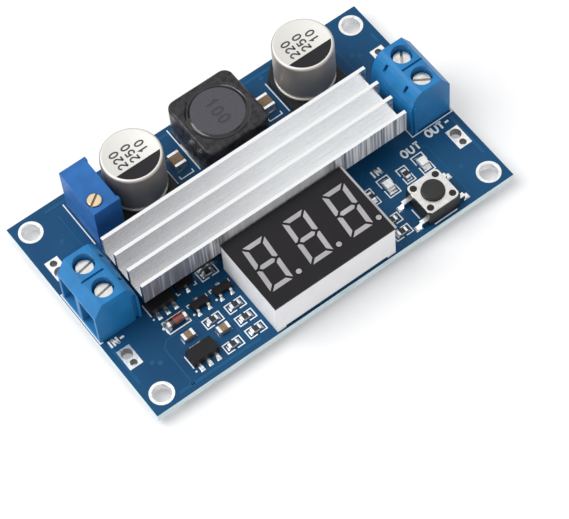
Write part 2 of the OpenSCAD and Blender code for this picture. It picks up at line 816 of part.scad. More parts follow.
module wire_clamp() {
    translate([screw_u, 0, cage_z]) difference() {
        block(cage_depth, cage_w, cage_h);
        block(
            cage_depth + over, cage_w - 2 * cage_wall,
            cage_h - cage_wall - cage_top_t, cage_wall
        );
        translate([0, 0, cage_h / 2]) cylinder(d = shaft_d + 2 * run_clear, h = cage_h);
    }
}

module in_terminal_body() { color([0.2, 0.5, 0.75]) at_end(-1) terminal_body(); }
module out_terminal_body() { color([0.2, 0.5, 0.75]) at_end(1) terminal_body(); }
module in_terminal_contacts() { color([0.8, 0.8, 0.78]) at_end(-1) terminal_contacts(); }
module out_terminal_contacts() { color([0.8, 0.8, 0.78]) at_end(1) terminal_contacts(); }
module in_plus_screw() { color([0.85, 0.86, 0.87]) at_pole(-1, 1) terminal_screw(slot_in_plus); }
module in_minus_screw() { color([0.85, 0.86, 0.87]) at_pole(-1, -1) terminal_screw(slot_in_minus); }
module out_plus_screw() { color([0.85, 0.86, 0.87]) at_pole(1, 1) terminal_screw(slot_out_plus); }
module out_minus_screw() { color([0.85, 0.86, 0.87]) at_pole(1, -1) terminal_screw(slot_out_minus); }
module in_plus_clamp() { color([0.7, 0.71, 0.72]) at_pole(-1, 1) wire_clamp(); }
module in_minus_clamp() { color([0.7, 0.71, 0.72]) at_pole(-1, -1) wire_clamp(); }
module out_plus_clamp() { color([0.7, 0.71, 0.72]) at_pole(1, 1) wire_clamp(); }
module out_minus_clamp() { color([0.7, 0.71, 0.72]) at_pole(1, -1) wire_clamp(); }

// Heatsink and the power packages under it

module heatsink() {
    color([0.78, 0.79, 0.8])
        translate([sink_x0, sink_y0, sink_z])
            rotate([90, 0, 90]) linear_extrude(sink_x1 - sink_x0) {
                square([sink_w, sink_base_t]);
                for (i = [0:fin_n - 1])
                    translate([i * fin_pitch, 0]) square([fin_t, sink_h]);
            }
}

// The two packages lie on either side of the heatsink's middle
module at_package(side) {
    on_board(sink_x + side * pkg_step / 2 - pkg_all / 2, sink_y + pkg_back) children();
}

module package_tab() {
    translate([0, -pkg_w / 2, 0]) cube([tab_l + tab_under, pkg_w, tab_t]);
}

module package_body() {
    difference() {
        translate([tab_l, -pkg_w / 2, 0]) cube([pkg_l, pkg_w, pkg_h]);
        package_tab();
    }
}

module package_leads() {
    package_tab();
    for (s = [-1, 1])
        translate([tab_l + pkg_l, s * pkg_lead_pitch / 2, 0])
            gull_lead(pkg_lead_l, pkg_lead_z, pkg_lead_t, pkg_lead_w);
}

module thermal_pads() {
    color([0.92, 0.92, 0.9]) for (side = [-1, 1])
        at_package(side) translate([tab_l + pkg_l / 2, 0, pkg_h])
            block(pkg_l - 2 * adhesive_rim, pkg_w - 2 * adhesive_rim, adhesive_t);
}

module power_transistor_body() { color([0.12, 0.12, 0.13]) at_package(-1) package_body(); }
module power_transistor_leads() { color([0.75, 0.75, 0.74]) at_package(-1) package_leads(); }
module rectifier_body() { color([0.12, 0.12, 0.13]) at_package(1) package_body(); }
module rectifier_leads() { color([0.75, 0.75, 0.74]) at_package(1) package_leads(); }

// Can capacitors

module capacitor_leads() {
    for (s = [-1, 1])
        translate([0, s * (base_w / 4 + cap_lead_out / 2 + cap_lead_w / 4), 0])
            block(cap_lead_w, base_w / 2 + cap_lead_out - cap_lead_w / 2, cap_lead_t);
}

module capacitor_base() {
    half = base_w / 2;
    difference() {
        linear_extrude(base_t) polygon([
            [-half, -half], [half, -half], [half, half - base_cut], [half - base_cut, half],
            [base_cut - half, half], [-half, half - base_cut]
        ]);
        capacitor_leads();
    }
}

module capacitor_can() {
    r = can_d / 2;
    z = base_t;
    edge_steps = 5;
    rotate_extrude() polygon(concat(
        [
            [0, z], [r - neck_depth, z],
            [r - neck_depth / 4, z + foot_h / 6], [r - neck_depth / 4, z + foot_h / 3],
            [r - neck_depth, z + foot_h / 2], [r - neck_depth, z + 2 * foot_h / 3],
            [r, z + foot_h]
        ],
        [for (i = [0:edge_steps]) let (a = 90 * i / edge_steps)
            [r - can_edge + can_edge * cos(a), can_h - can_edge + can_edge * sin(a)]],
        [[0, can_h]]
    ));
}

module input_capacitor_can() { color([0.85, 0.85, 0.84]) on_board(cap_in_x, row_y) capacitor_can(); }
module input_capacitor_base() { color([0.1, 0.1, 0.1]) on_board(cap_in_x, row_y) capacitor_base(); }
module input_capacitor_leads() { color([0.8, 0.8, 0.78]) on_board(cap_in_x, row_y) capacitor_leads(); }
module output_capacitor_can() { color([0.85, 0.85, 0.84]) on_board(cap_out_x, row_y) capacitor_can(); }
module output_capacitor_base() { color([0.1, 0.1, 0.1]) on_board(cap_out_x, row_y) capacitor_base(); }
module output_capacitor_leads() { color([0.8, 0.8, 0.78]) on_board(cap_out_x, row_y) capacitor_leads(); }

// Shielded inductor

module inductor_shield() {
    color([0.22, 0.22, 0.23]) on_board(ind_x, row_y) translate([0, 0, ind_term_t])
        difference() {
            linear_extrude(ind_h - ind_term_t) round_rect(ind_w, ind_w, ind_r);
            translate([0, 0, ind_floor]) cylinder(d = ind_bore_d, h = ind_h);
        }
}

module inductor_core() {
    color([0.34, 0.33, 0.35]) on_board(ind_x, row_y) {
        translate([0, 0, drum_z]) cylinder(d = drum_d, h = flange_t);
        translate([0, 0, drum_z]) cylinder(d = post_d, h = ind_h - drum_z);
        translate([0, 0, ind_h - flange_t]) cylinder(d = drum_d, h = flange_t);
    }
}

module inductor_winding() {
    color([0.7, 0.35, 0.15]) on_board(ind_x, row_y)
        translate([0, 0, drum_z + flange_t + wind_clear]) difference() {
            cylinder(d = drum_d - 2 * wind_clear, h = ind_h - drum_z - 2 * flange_t - 2 * wind_clear);
            translate([0, 0, -over]) cylinder(d = post_d + 2 * wind_clear, h = ind_h);
        }
}

module inductor_terminals() {
    color([0.82, 0.82, 0.8]) on_board(ind_x, row_y) for (s = [-1, 1])
        translate([s * (ind_w - ind_term_l) / 2, 0, 0])
            block(ind_term_l, ind_term_w, ind_term_t);
}

// Trimmer

module trimmer_body() {
    color([0.15, 0.4, 0.75]) on_board(trim_x, trim_y) difference() {
        union() {
            block(trim_w, trim_l, trim_h - trim_foot, trim_foot);
            for (s = [-1, 1])
                translate([0, s * (trim_l - trim_rib) / 2, 0]) block(trim_w, trim_rib, trim_foot);
        }
        translate([trim_w / 2, 0, 0])
            block(2 * trim_recess, trim_l - 2 * trim_rib, trim_h + over);
        translate([trim_screw_x, trim_screw_y, trim_h - trim_screw_in - run_clear])
            cylinder(d = trim_screw_d + 2 * run_clear, h = trim_h);
    }
}

module trimmer_screw() {
    color([0.85, 0.68, 0.4]) on_board(trim_x + trim_screw_x, trim_y + trim_screw_y) difference() {
        translate([0, 0, trim_h - trim_screw_in])
            cylinder(d = trim_screw_d, h = trim_screw_in + trim_screw_up);
        rotate(trim_slot_turn)
            block(trim_screw_d + over, slot_w, slot_depth + over, trim_h + trim_screw_up - slot_depth);
    }
}

module trimmer_pins() {
    color([0.8, 0.8, 0.78]) translate([0, 0, top_z]) trimmer_pin_spots() round_pin(trim_foot);
}

// Three-digit display

function mirror_x(points) = [for (p = points) [-p[0], p[1]]];
function mirror_y(points) = [for (p = points) [p[0], -p[1]]];

// Outlines of the seven segments of one upright digit
function digit_outlines() =
    let (
        w = digit_w / 2, h = digit_h / 2, t = seg_w, g = seg_gap,
        top = [[g - w, h], [w - g, h], [w - t - g, h - t], [t + g - w, h - t]],
        side = [[w, h - g], [w - t, h - t - g], [w - t, t / 2 + g], [w - t / 2, g], [w, g]],
        bar = [
            [t / 2 + g - w, 0], [t + g - w, t / 2], [w - t - g, t / 2],
            [w - t / 2 - g, 0], [w - t - g, -t / 2], [t + g - w, -t / 2]
        ]
    )
    [
        top, mirror_y(top), side, mirror_x(side), mirror_y(side),
        mirror_x(mirror_y(side)), bar
    ];

// The outline leaned over by the slant of the digits
function leaned(points) = [for (p = points) [p[0] + p[1] * tan(slant), p[1]]];

module digits(dot) {
    for (i = [0:digit_n - 1]) translate([(i - (digit_n - 1) / 2) * digit_pitch, 0]) {
        for (outline = digit_outlines()) polygon(leaned(outline));
        translate([dot_x, (dot_d - digit_h) / 2]) circle(d = dot);
    }
}

module at_display(z) { on_board(disp_x, disp_y) translate([0, 0, z]) children(); }

module display_shell() {
    color([0.9, 0.9, 0.9]) at_display(0) {
        block(disp_l, disp_w, disp_h - face_t - disp_foot, disp_foot);
        for (s = [-1, 1])
            translate([s * (disp_l - disp_foot_l) / 2, 0, 0]) block(disp_foot_l, disp_w, disp_foot);
    }
}

module display_face() {
    color([0.16, 0.15, 0.16]) at_display(disp_h - face_t) linear_extrude(face_t) difference() {
        square([disp_l, disp_w], center = true);
        digits(dot_d + 2 * run_clear);
    }
}

module display_segments() {
    color([0.65, 0.64, 0.65]) at_display(disp_h - face_t) linear_extrude(face_t) digits(dot_d);
}

module display_pins() {
    color([0.8, 0.8, 0.78]) translate([0, 0, top_z]) display_pin_spots() round_pin(disp_foot);
}

// Push button

module at_button() { on_board(tact_x, tact_y) children(); }

module each_rivet() {
    for (x = [-1, 1], y = [-1, 1])
        translate([x * rivet_pitch / 2, y * rivet_pitch / 2]) children();
}

module button_base() {
    color([0.1, 0.1, 0.1]) at_button() {
        difference() {
            block(tact_w, tact_w, tact_h - cover_t);
            translate([0, 0, dome_z]) cylinder(d = well_d, h = tact_h);
        }
        translate([0, 0, tact_h - cover_t - over]) linear_extrude(over + cover_t + run_clear)
            each_rivet() circle(d = rivet_d);
    }
}

module button_cover() {
    color([0.84, 0.83, 0.82]) at_button() translate([0, 0, tact_h - cover_t])
        linear_extrude(cover_t) difference() {
            round_rect(tact_w, tact_w, cover_r);
            circle(d = button_d + 2 * button_clear);
            each_rivet() circle(d = rivet_d + 2 * run_clear);
        }
}

module button_cap() {
    color([0.2, 0.2, 0.2]) at_button() {
        translate([0, 0, button_bottom]) cylinder(d = flange_d, h = button_flange_t);
        translate([0, 0, button_bottom])
            cylinder(d = button_d, h = tact_h + button_up - button_bottom);
    }
}

module button_dome() {
    color([0.8, 0.8, 0.78]) at_button() translate([0, 0, dome_z]) difference() {
        cylinder(d1 = flange_d, d2 = dome_top_d, h = dome_h);
        translate([0, 0, -dome_t]) cylinder(d1 = flange_d, d2 = dome_top_d, h = dome_h);
    }
}

module button_legs() {
    color([0.85, 0.85, 0.84]) at_button() for (x = [0, 180], y = [-1, 1])
        rotate(x) translate([tact_w / 2, y * leg_pitch / 2, 0])
            gull_lead(leg_out, leg_z, leg_t, leg_w);
}

// Chips

module chip_body(l, w, h) { block(l, w, h - chip_up, chip_up); }

// Two rows of leads along the sides of a chip that is w wide
module chip_leads(n, pitch, w) {
    for (turn = [0, 180], i = [0:n - 1])
        rotate(turn) translate([(i - (n - 1) / 2) * pitch, w / 2, 0])
            rotate(90) gull_lead(chip_lead_l, chip_h / 2, chip_lead_t, chip_lead_w);
}

// A regulator with three flat leads in front and a wide tab behind
module regulator_body() {
    block(reg_l, reg_w, reg_h);
}

module regulator_leads() {
    for (i = [-1:1])
        translate([i * reg_pitch, -(reg_w + reg_lead_l) / 2, 0])
            block(reg_lead_w, reg_lead_l, reg_lead_t);
    translate([0, (reg_w + reg_tab_l) / 2, 0]) block(reg_tab_w, reg_tab_l, reg_lead_t);
}

module at_controller() { on_board(ctl_at[0], ctl_at[1]) children(); }
module at_meter() { on_board(meter_at[0], meter_at[1]) children(); }
module controller_body() { color([0.12, 0.12, 0.13]) at_controller() chip_body(ctl_w, ctl_w, chip_h); }
module controller_leads() {
    color([0.8, 0.8, 0.78]) at_controller() chip_leads(ctl_pins, ctl_pitch, ctl_w);
}
module meter_chip_body() { color([0.12, 0.12, 0.13]) at_meter() chip_body(meter_l, meter_w, chip_h); }
module meter_chip_leads() {
    color([0.8, 0.8, 0.78]) at_meter() chip_leads(meter_pins, meter_pitch, meter_w);
}

module at_gate() { on_board(gate_reg_x, gate_reg_y) children(); }
module at_supply() { on_board(reg_x, meter_reg_y) children(); }
module gate_regulator_body() { color([0.12, 0.12, 0.13]) at_gate() regulator_body(); }
module gate_regulator_leads() { color([0.85, 0.85, 0.84]) at_gate() regulator_leads(); }
module meter_regulator_body() { color([0.12, 0.12, 0.13]) at_supply() regulator_body(); }
module meter_regulator_leads() { color([0.85, 0.85, 0.84]) at_supply() regulator_leads(); }

module each_transistor() {
    for (spot = transistor_spots) on_board(spot[0], spot[1]) rotate(spot[2]) children();
}

module transistor_bodies() {
    color([0.12, 0.12, 0.13]) each_transistor() chip_body(sot_l, sot_w, sot_h);
}

module transistor_leads() {
    color([0.85, 0.85, 0.84]) each_transistor() {
        for (s = [-1, 1])
            translate([s * sot_pitch / 2, -sot_w / 2, 0])
                rotate(-90) gull_lead(sot_lead_l, sot_h / 2, chip_lead_t, sot_lead_w);
        translate([0, sot_w / 2, 0])
            rotate(90) gull_lead(sot_lead_l, sot_h / 2, chip_lead_t, sot_lead_w);
    }
}

// Chip resistors, ceramic capacitors, the glass diode and the indicator lamps

module chip_middle(l, w, h, end) { block(l - 2 * end, w, h); }

module chip_ends(l, w, h, end) {
    for (s = [-1, 1]) translate([s * (l - end) / 2, 0, 0]) block(end, w, h);
}

module each_resistor() { for (s = resistor_spots) on_board(s[0], s[1], s[2]) children(); }
module each_ceramic() { for (s = ceramic_spots) on_board(s[0], s[1]) children(); }
module each_bulk() { for (x = [bulk_in_x, bulk_out_x]) on_board(x, row_y, 90) children(); }

module resistor_bodies() {
    color([0.15, 0.14, 0.14]) each_resistor() chip_middle(res_l, res_w, res_h, res_end);
}

module resistor_ends() {
    color([0.8, 0.8, 0.79]) each_resistor() chip_ends(res_l, res_w, res_h, res_end);
}

module ceramic_bodies() {
    color([0.6, 0.5, 0.36]) {
        each_ceramic() chip_middle(cer_l, cer_w, cer_h, cer_end);
        each_bulk() chip_middle(bulk_l, bulk_w, bulk_h, cer_end);
    }
}

module ceramic_ends() {
    color([0.85, 0.84, 0.82]) {
        each_ceramic() chip_ends(cer_l, cer_w, cer_h, cer_end);
        each_bulk() chip_ends(bulk_l, bulk_w, bulk_h, cer_end);
    }
}

module at_diode() {
    on_board(reg_x, diode_y) translate([0, 0, diode_d / 2]) rotate([0, 90, 0]) children();
}

module glass_diode_body() {
    color([0.6, 0.25, 0.18]) at_diode()
        cylinder(d = diode_d - 2 * diode_step, h = diode_l - 2 * diode_cap, center = true);
}

module glass_diode_caps() {
    color([0.8, 0.8, 0.78]) at_diode() for (s = [-1, 1])
        translate([0, 0, s * (diode_l - diode_cap) / 2])
            cylinder(d = diode_d, h = diode_cap, center = true);
}

module indicator_leds() {
    color([0.92, 0.93, 0.88]) for (x = [lamp_x[1], lamp_x[3]]) on_board(x, lamp_y, 90) {
        block(led_l, led_w, led_base_h);
        block(led_lens_l, led_w, led_h);
    }
}

board();
corner_rings();
wire_pads();
in_terminal_body();
in_terminal_contacts();
in_plus_screw();
in_minus_screw();
in_plus_clamp();
in_minus_clamp();
out_terminal_body();
out_terminal_contacts();
out_plus_screw();
out_minus_screw();
out_plus_clamp();
out_minus_clamp();
heatsink();
thermal_pads();
power_transistor_body();
power_transistor_leads();
rectifier_body();
rectifier_leads();
input_capacitor_can();
input_capacitor_base();
input_capacitor_leads();
output_capacitor_can();
output_capacitor_base();
output_capacitor_leads();
inductor_shield();
inductor_core();
inductor_winding();
inductor_terminals();
trimmer_body();
trimmer_screw();
trimmer_pins();
display_shell();
display_face();
display_segments();
display_pins();
button_base();
button_cover();
button_cap();
button_dome();
button_legs();
controller_body();
controller_leads();
meter_chip_body();
meter_chip_leads();
gate_regulator_body();
gate_regulator_leads();
meter_regulator_body();
meter_regulator_leads();
transistor_bodies();
transistor_leads();
resistor_bodies();
resistor_ends();
ceramic_bodies();
ceramic_ends();
glass_diode_body();
glass_diode_caps();
indicator_leds();
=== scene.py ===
import json
import math

import bmesh
import bpy
import numpy as np
from mathutils import Euler, Matrix, Vector


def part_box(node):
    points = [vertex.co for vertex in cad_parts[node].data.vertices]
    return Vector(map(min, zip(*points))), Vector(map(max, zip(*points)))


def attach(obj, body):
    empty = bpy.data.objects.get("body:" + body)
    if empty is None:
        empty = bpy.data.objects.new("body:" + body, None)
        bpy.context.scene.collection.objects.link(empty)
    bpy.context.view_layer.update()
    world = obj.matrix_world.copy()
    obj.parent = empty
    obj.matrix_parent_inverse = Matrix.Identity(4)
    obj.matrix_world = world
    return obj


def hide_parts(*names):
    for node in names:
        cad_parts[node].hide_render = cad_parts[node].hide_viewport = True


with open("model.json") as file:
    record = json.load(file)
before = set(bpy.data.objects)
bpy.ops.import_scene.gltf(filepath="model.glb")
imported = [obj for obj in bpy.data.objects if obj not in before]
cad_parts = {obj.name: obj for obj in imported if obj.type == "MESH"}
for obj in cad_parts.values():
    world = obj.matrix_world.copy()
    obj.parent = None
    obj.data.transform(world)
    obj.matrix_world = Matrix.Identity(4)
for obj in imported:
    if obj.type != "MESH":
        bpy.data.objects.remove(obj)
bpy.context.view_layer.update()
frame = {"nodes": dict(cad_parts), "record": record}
nodes = frame["nodes"]
mm = 0.001


# Circuit board
# A two-layer glass-epoxy panel under blue solder mask. It is routed from a larger sheet,
# so its edges are bare laminate with the resin showing pale between the glass layers.

board_low, board_high = np.array(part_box("board"))
board_top = board_high[2]
mask_blue = (21, 77, 117)
mask_deep = (15, 66, 105)
laminate_pale = (228, 240, 243)
laminate_resin = (194, 216, 220)
mask_rough = 0.4
mask_gloss = 0.18
mask_blotch = 9 * mm
mask_ripple = 0.004 * mm
weave_size = 0.45 * mm
weave_bend = 0.6
wave_unit = 0.314
layer_size = 0.2 * mm
layer_length = 18


def srgb(red, green, blue):
    """Linear colour of a screen colour from 0 to 255: the sRGB curve undone channel by channel."""
    share = np.array([red, green, blue]) / 255
    linear = np.where(share < 0.0405, share / 12.92, ((share + 0.055) / 1.055) ** 2.4)
    return (*linear.tolist(), 1.0)


def start_finish(name, colour, rough, metal=0.0, **sockets):
    """A new material, its node tree and its shader. Other sockets are named with _ for a space."""
    finish = bpy.data.materials.new(name)
    finish.use_nodes = True
    shader = finish.node_tree.nodes["Principled BSDF"]
    values = {"Base Color": srgb(*colour), "Roughness": rough, "Metallic": metal}
    values |= {key.replace("_", " "): value for key, value in sockets.items()}
    for key, value in values.items():
        shader.inputs[key].default_value = value
    return finish, finish.node_tree, shader


def feed(node, key, value):
    """Give a node's input a constant, or link it to another node's output."""
    if isinstance(value, bpy.types.NodeSocket):
        node.id_data.links.new(value, node.inputs[key])
    else:
        node.inputs[key].default_value = value


def add(tree, kind, inputs=None, **settings):
    """A new shader node with its settings and inputs, given as its outputs."""
    node = tree.nodes.new("ShaderNode" + kind)
    for key, value in settings.items():
        setattr(node, key, value)
    for key, value in (inputs or {}).items():
        feed(node, key, value)
    return node.outputs


def place(tree, centre=(0, 0, 0), stretch=(1, 1, 1)):
    """Object coordinates measured from centre and drawn out by stretch."""
    inputs = {"Vector": add(tree, "TexCoord")["Object"], "Location": centre, "Scale": stretch}
    return add(tree, "Mapping", inputs, vector_type="TEXTURE")[0]


def xyz(vector):
    """The X, Y and Z of a vector."""
    return add(vector.id_data, "SeparateXYZ", {0: vector})


def upward(tree):
    """How far the surface faces up: 1 on a top, 0 on a wall and -1 on an underside."""
    return xyz(add(tree, "NewGeometry")["True Normal"])[2]


def cloud(where, size, detail=2.0):
    """Smooth noise from 0 to 1 with blotches about size across."""
    return add(where.id_data, "TexNoise", {"Vector": where, "Scale": 1 / size, "Detail": detail})[0]


def waves(where, size, axis, bend=0.0):
    """Bands from 0 to 1, a size apart along an axis. At a scale of 1 they are wave_unit apart."""
    inputs = {"Vector": where, "Scale": wave_unit / size, "Distortion": bend}
    return add(where.id_data, "TexWave", inputs, bands_direction=axis)[1]


def calc(operation, first, second=0.0):
    """One arithmetic step on an output and a number or another output."""
    return add(first.id_data, "Math", {0: first, 1: second}, operation=operation)[0]


def spread(value, low=0.3, high=0.7, out_low=0.0, out_high=1.0):
    """A value carried from the range low to high onto the range out_low to out_high, clamped. Unless told
    otherwise, it draws out the middle of a cloud to the range from 0 to 1."""
    return add(value.id_data, "MapRange", {0: value, 1: low, 2: high, 3: out_low, 4: out_high})[0]


def between(share, first, second):
    """A colour between two others, each a screen colour or another node's output."""
    ends = [end if isinstance(end, bpy.types.NodeSocket) else srgb(*end) for end in (first, second)]
    return add(share.id_data, "Mix", {0: share, 6: ends[0], 7: ends[1]}, data_type="RGBA")[2]


def relief(shader, height, depth, edge=0.0):
    """Raise the surface by height times depth, over edges rounded to a radius."""
    tree = shader.id_data
    inputs = {"Strength": 1.0, "Distance": depth, "Height": height}
    if edge:
        inputs["Normal"] = add(tree, "Bevel", {"Radius": edge}, samples=4)[0]
    feed(shader, "Normal", add(tree, "Bump", inputs)[0])


def dress(finish, *names):
    """Give CAD nodes a material."""
    for name in names:
        nodes[name].data.materials.clear()
        nodes[name].data.materials.append(finish)


def solder_mask():
    """Blue mask with a faint glass weave under it on the faces, and pale layered laminate on the edges."""
    finish, tree, shader = start_finish("solder_mask", mask_blue, mask_rough, Specular_IOR_Level=mask_gloss)
    where = place(tree)
    warp, weft = (waves(where, weave_size, axis, weave_bend) for axis in "XY")
    layers = cloud(place(tree, stretch=(layer_length, layer_length, 1)), layer_size)
    face = calc("GREATER_THAN", calc("ABSOLUTE", upward(tree)), 0.5)
    blue = between(spread(cloud(where, mask_blotch)), mask_deep, mask_blue)
    edge = between(spread(layers, 0.35, 0.65), laminate_resin, laminate_pale)
    feed(shader, "Base Color", between(face, edge, blue))
    haze = cloud(where, 1.2 * mm)
    feed(shader, "Roughness", spread(haze, 0.3, 0.7, mask_rough - 0.06, mask_rough + 0.06))
    relief(shader, calc("MULTIPLY", warp, weft), mask_ripple)
    return finish


dress(solder_mask(), "board")


# Copper tracks and vias
# Etched copper under the mask on both faces, standing up by its own thickness, with small plated
# holes that take the current through. The mask dips into each hole.

track_rise = 0.035 * mm
track_wide = 0.55 * mm
track_power = 3 * mm
track_thin = 0.25 * mm
via_radius = 0.42 * mm
copper_blue = (28, 89, 129)
weld_gap = 1e-7
sliver_gap = 1e-8


def grid(rows, cols, around=False, across=False):
    """Quads between neighbours in rows by cols points, closed round the columns or rows if asked."""
    index = np.arange(rows * cols).reshape(rows, cols)
    if around:
        index = np.hstack([index, index[:, :1]])
    if across:
        index = np.vstack([index, index[:1]])
    corners = [index[:-1, :-1], index[:-1, 1:], index[1:, 1:], index[1:, :-1]]
    return np.stack(corners, -1).reshape(-1, 4).tolist()


def sweep(path, profile, height, closed=False):
    """A profile carried along a flat path: each point is the path's point, plus the profile's first
    number along the mitre of the two legs that meet there, plus its second number upwards."""
    path = np.asarray(path, float)
    legs = np.roll(path, -1, axis=0) - path if closed else np.diff(path, axis=0)
    sides = np.stack([-legs[:, 1], legs[:, 0]], 1) / np.linalg.norm(legs, axis=1, keepdims=True)
    before = np.roll(sides, 1, axis=0) if closed else np.vstack([sides[:1], sides])
    after = sides if closed else np.vstack([sides, sides[-1:]])
    mitre = (before + after) / (1 + (before * after).sum(1, keepdims=True))
    profile = np.asarray(profile, float)
    flat = path[:, None] + mitre[:, None] * profile[None, :, :1]
    rise = np.broadcast_to(height + profile[:, 1], flat.shape[:2])
    rows, cols = flat.shape[:2]
    faces = grid(rows, cols, around=True, across=closed)
    if not closed:
        faces += [list(range(cols)), list(range((rows - 1) * cols, rows * cols))]
    return np.dstack([flat, rise]).reshape(-1, 3), faces


def ribbon(path, width, rise, height, closed=False):
    """A flat strip of a width and thickness along a path."""
    half = width / 2
    return sweep(path, [(-half, 0), (half, 0), (half, rise), (-half, rise)], height, closed)


def polar(reach, angle, rise):
    """Points on a polar grid: x = r cos a, y = r sin a, z = h."""
    reach, angle, rise = np.broadcast_arrays(reach, angle, rise)
    return np.dstack([reach * np.cos(angle), reach * np.sin(angle), rise])


def even_turn(steps):
    """The angles of even steps round a whole turn."""
    return np.arange(steps) * 2 * np.pi / steps


def lathe(profile, centre, angle, axis="Z"):
    """A profile of radius and height turned about an axis, with its points at the given angles."""
    profile = np.asarray(profile, float)
    points = polar(profile[:, :1], angle, profile[:, 1:])
    if axis == "X":
        points = points[..., [2, 0, 1]]
    return points.reshape(-1, 3) + centre, grid(len(profile), len(angle), around=True)


def put(name, parts, finish, body="module", smooth=35):
    """Join closed shapes into one piece with its faces outwards, smooth it up to an angle in degrees, and
    fix it to a body."""
    counts = np.cumsum([0] + [len(points) for points, _ in parts])
    corners = np.vstack([points for points, _ in parts])
    faces = [[start + i for i in face] for start, (_, some) in zip(counts, parts) for face in some]
    mesh = bpy.data.meshes.new(name)
    mesh.from_pydata(corners.tolist(), [], faces)
    work = bmesh.new()
    work.from_mesh(mesh)
    bmesh.ops.remove_doubles(work, verts=work.verts, dist=weld_gap)
    bmesh.ops.dissolve_degenerate(work, edges=work.edges, dist=sliver_gap)
    bmesh.ops.recalc_face_normals(work, faces=work.faces)
    work.to_mesh(mesh)
    work.free()
    mesh.shade_smooth()
    mesh.set_sharp_from_angle(angle=math.radians(smooth))
    mesh.materials.append(finish)
    piece = bpy.data.objects.new(name, mesh)
    bpy.context.scene.collection.objects.link(piece)
    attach(piece, body)
    return piece


def via(x, y, face, way):
    """A mask-covered via on one face, standing up or, with way -1, down: a low ring around a dip, closed
    behind. Its profile is in shares of the radius and of the copper's thickness."""
    profile = [(0, 0.1), (0.2, 0.2), (0.36, 1), (0.75, 1), (1, 0), (0, 0)]
    scaled = [(share * via_radius, way * rise * track_rise) for share, rise in profile]
    return lathe(scaled, (x, y, face), even_turn(16))


def tracks():
    """Runs of copper along the edges and between the parts, and the places of the vias, chosen from the
    free places and given in millimetres."""
    left, front = board_low[:2] / mm
    right, rear = board_high[:2] / mm
    wide = [
        [(left + 4.9, front + 1.1), (left + 20, front + 1.1)],
        [(left + 1.1, -5.9), (left + 1.1, front + 6)],
        [(right - 1.1, -6), (right - 1.1, front + 6)],
        [(left + 6.5, rear - 1.2), (-2, rear - 1.2)],
        [(10, rear - 1.2), (right - 6, rear - 1.2)],
        [(right - 1.2, rear - 6), (right - 1.2, 12.5)],
    ]
    thin = [
        [(-19, -10.9), (-25.6, -10.9), (-26.6, -11.9), (-26.6, -19)],
        [(-15.9, -13.4), (-15.9, -17.2), (-16.6, -17.9)],
        [(13.9, -7.4), (15.7, -5.6), (15.7, -4)],
        [(26, -19.2), (26.6, -18.6), (26.6, -8), (25.4, -6.8)],
        [(12.4, -19.4), (12.4, -8.6), (11.6, -7.8)],
        [(-26.2, 17.6), (-26.2, 8), (-24.4, 6.2)],
        [(26.4, 17.4), (26.4, 8.2), (25.2, 7)],
    ]
    spots = [
        (-26.6, -19.2), (-19.7, -10.9), (-16.7, -18.1), (15.7, -3.9), (25.2, -6.7),
        (12.4, -19.6), (-24.2, 6.0), (26.4, 17.6), (25.0, 6.8), (-28.4, -13.4), (-29.4, -12.6),
        (28.6, -14.2), (27.9, 12.9), (28.9, 12.2), (-28.2, 13.4), (13.9, 18.6), (-7.4, 19.0),
    ]
    under_power = [[(-25, -2.5), (25, -2.5)], [(-25, 2.5), (-12, 2.5)], [(25, 2.5), (12, 2.5)]]
    for x, y in ((-1, -1), (1, -1), (-1, 1), (1, 1)):
        under_power.append([(29 * x, 2.5 * y), (30.9 * x, 4.4 * y), (30.9 * x, 8 * y)])
    under_wide = [
        [(-7.5, -18.3), (-10.5, -18.3), (-12.5, -16.3), (-12.5, -6)],
        [(7.1, -18.3), (10.1, -18.3), (12.1, -16.3), (12.1, -6)],
        [(-3.5, -9.2), (-3.5, -17.2)],
        [(3.3, -9.2), (3.3, -17.2)],
        [(-20.8, 10.8), (-18.4, 8.4), (-9.5, 8.4)],
        [(-20.7, 13.3), (-16, 13.3), (-13, 16.3), (13.9, 16.3)],
        [(16, 12.9), (27.9, 12.9)],
    ]
    below = board_low[2]
    over = [(track_wide, wide), (track_thin, thin)]
    under = [(track_power, under_power), (track_wide, under_wide)]
    shapes = [via(x * mm, y * mm, face, way) for x, y in spots for face, way in ((board_top, 1), (below, -1))]
    for height, groups in ((board_top, over), (below - track_rise, under)):
        for width, runs in groups:
            shapes += [ribbon(np.array(run) * mm, width, track_rise, height) for run in runs]
    return shapes


def masked_copper():
    """Mask over copper: a little brighter than mask over bare laminate."""
    finish, tree, shader = start_finish("masked_copper", mask_blue, mask_rough, Specular_IOR_Level=mask_gloss)
    grain = cloud(place(tree), 0.8 * mm)
    feed(shader, "Base Color", between(grain, mask_blue, copper_blue))
    relief(shader, grain, mask_ripple)
    return finish


put("copper_tracks", tracks(), masked_copper())


# Tinned holes and wire pads
# Copper rings and pads left free of mask and levelled with hot solder, with plated barrels
# through the board that take screws at the corners and wires at the two ends.

barrel_wall = 0.03 * mm
# Grey tin for painted shade inside the wire barrels
barrel_shaded_grey = (150, 148, 144)
tin_bright = (246, 247, 247)


def shaded(colour, share):
    """A screen colour times a share."""
    return tuple(share * channel for channel in colour)


def tinned(name, rough, ripple=0.01 * mm, size=0.5 * mm, bright=tin_bright):
    """Bright tin with soft ripples where it froze, and painted shade that darkens the hollows."""
    finish, tree, shader = start_finish(name, bright, rough, 1.0)
    where = place(tree)
    swell = cloud(where, size)
    # Painted shade: the colour drops where the ripples sink
    feed(shader, "Base Color", between(spread(swell, 0.3, 0.6), shaded(bright, 0.9), bright))
    haze = cloud(where, 0.2 * mm)
    feed(shader, "Roughness", spread(haze, 0.3, 0.7, rough - 0.06, rough + 0.1))
    relief(shader, swell, ripple)
    return finish


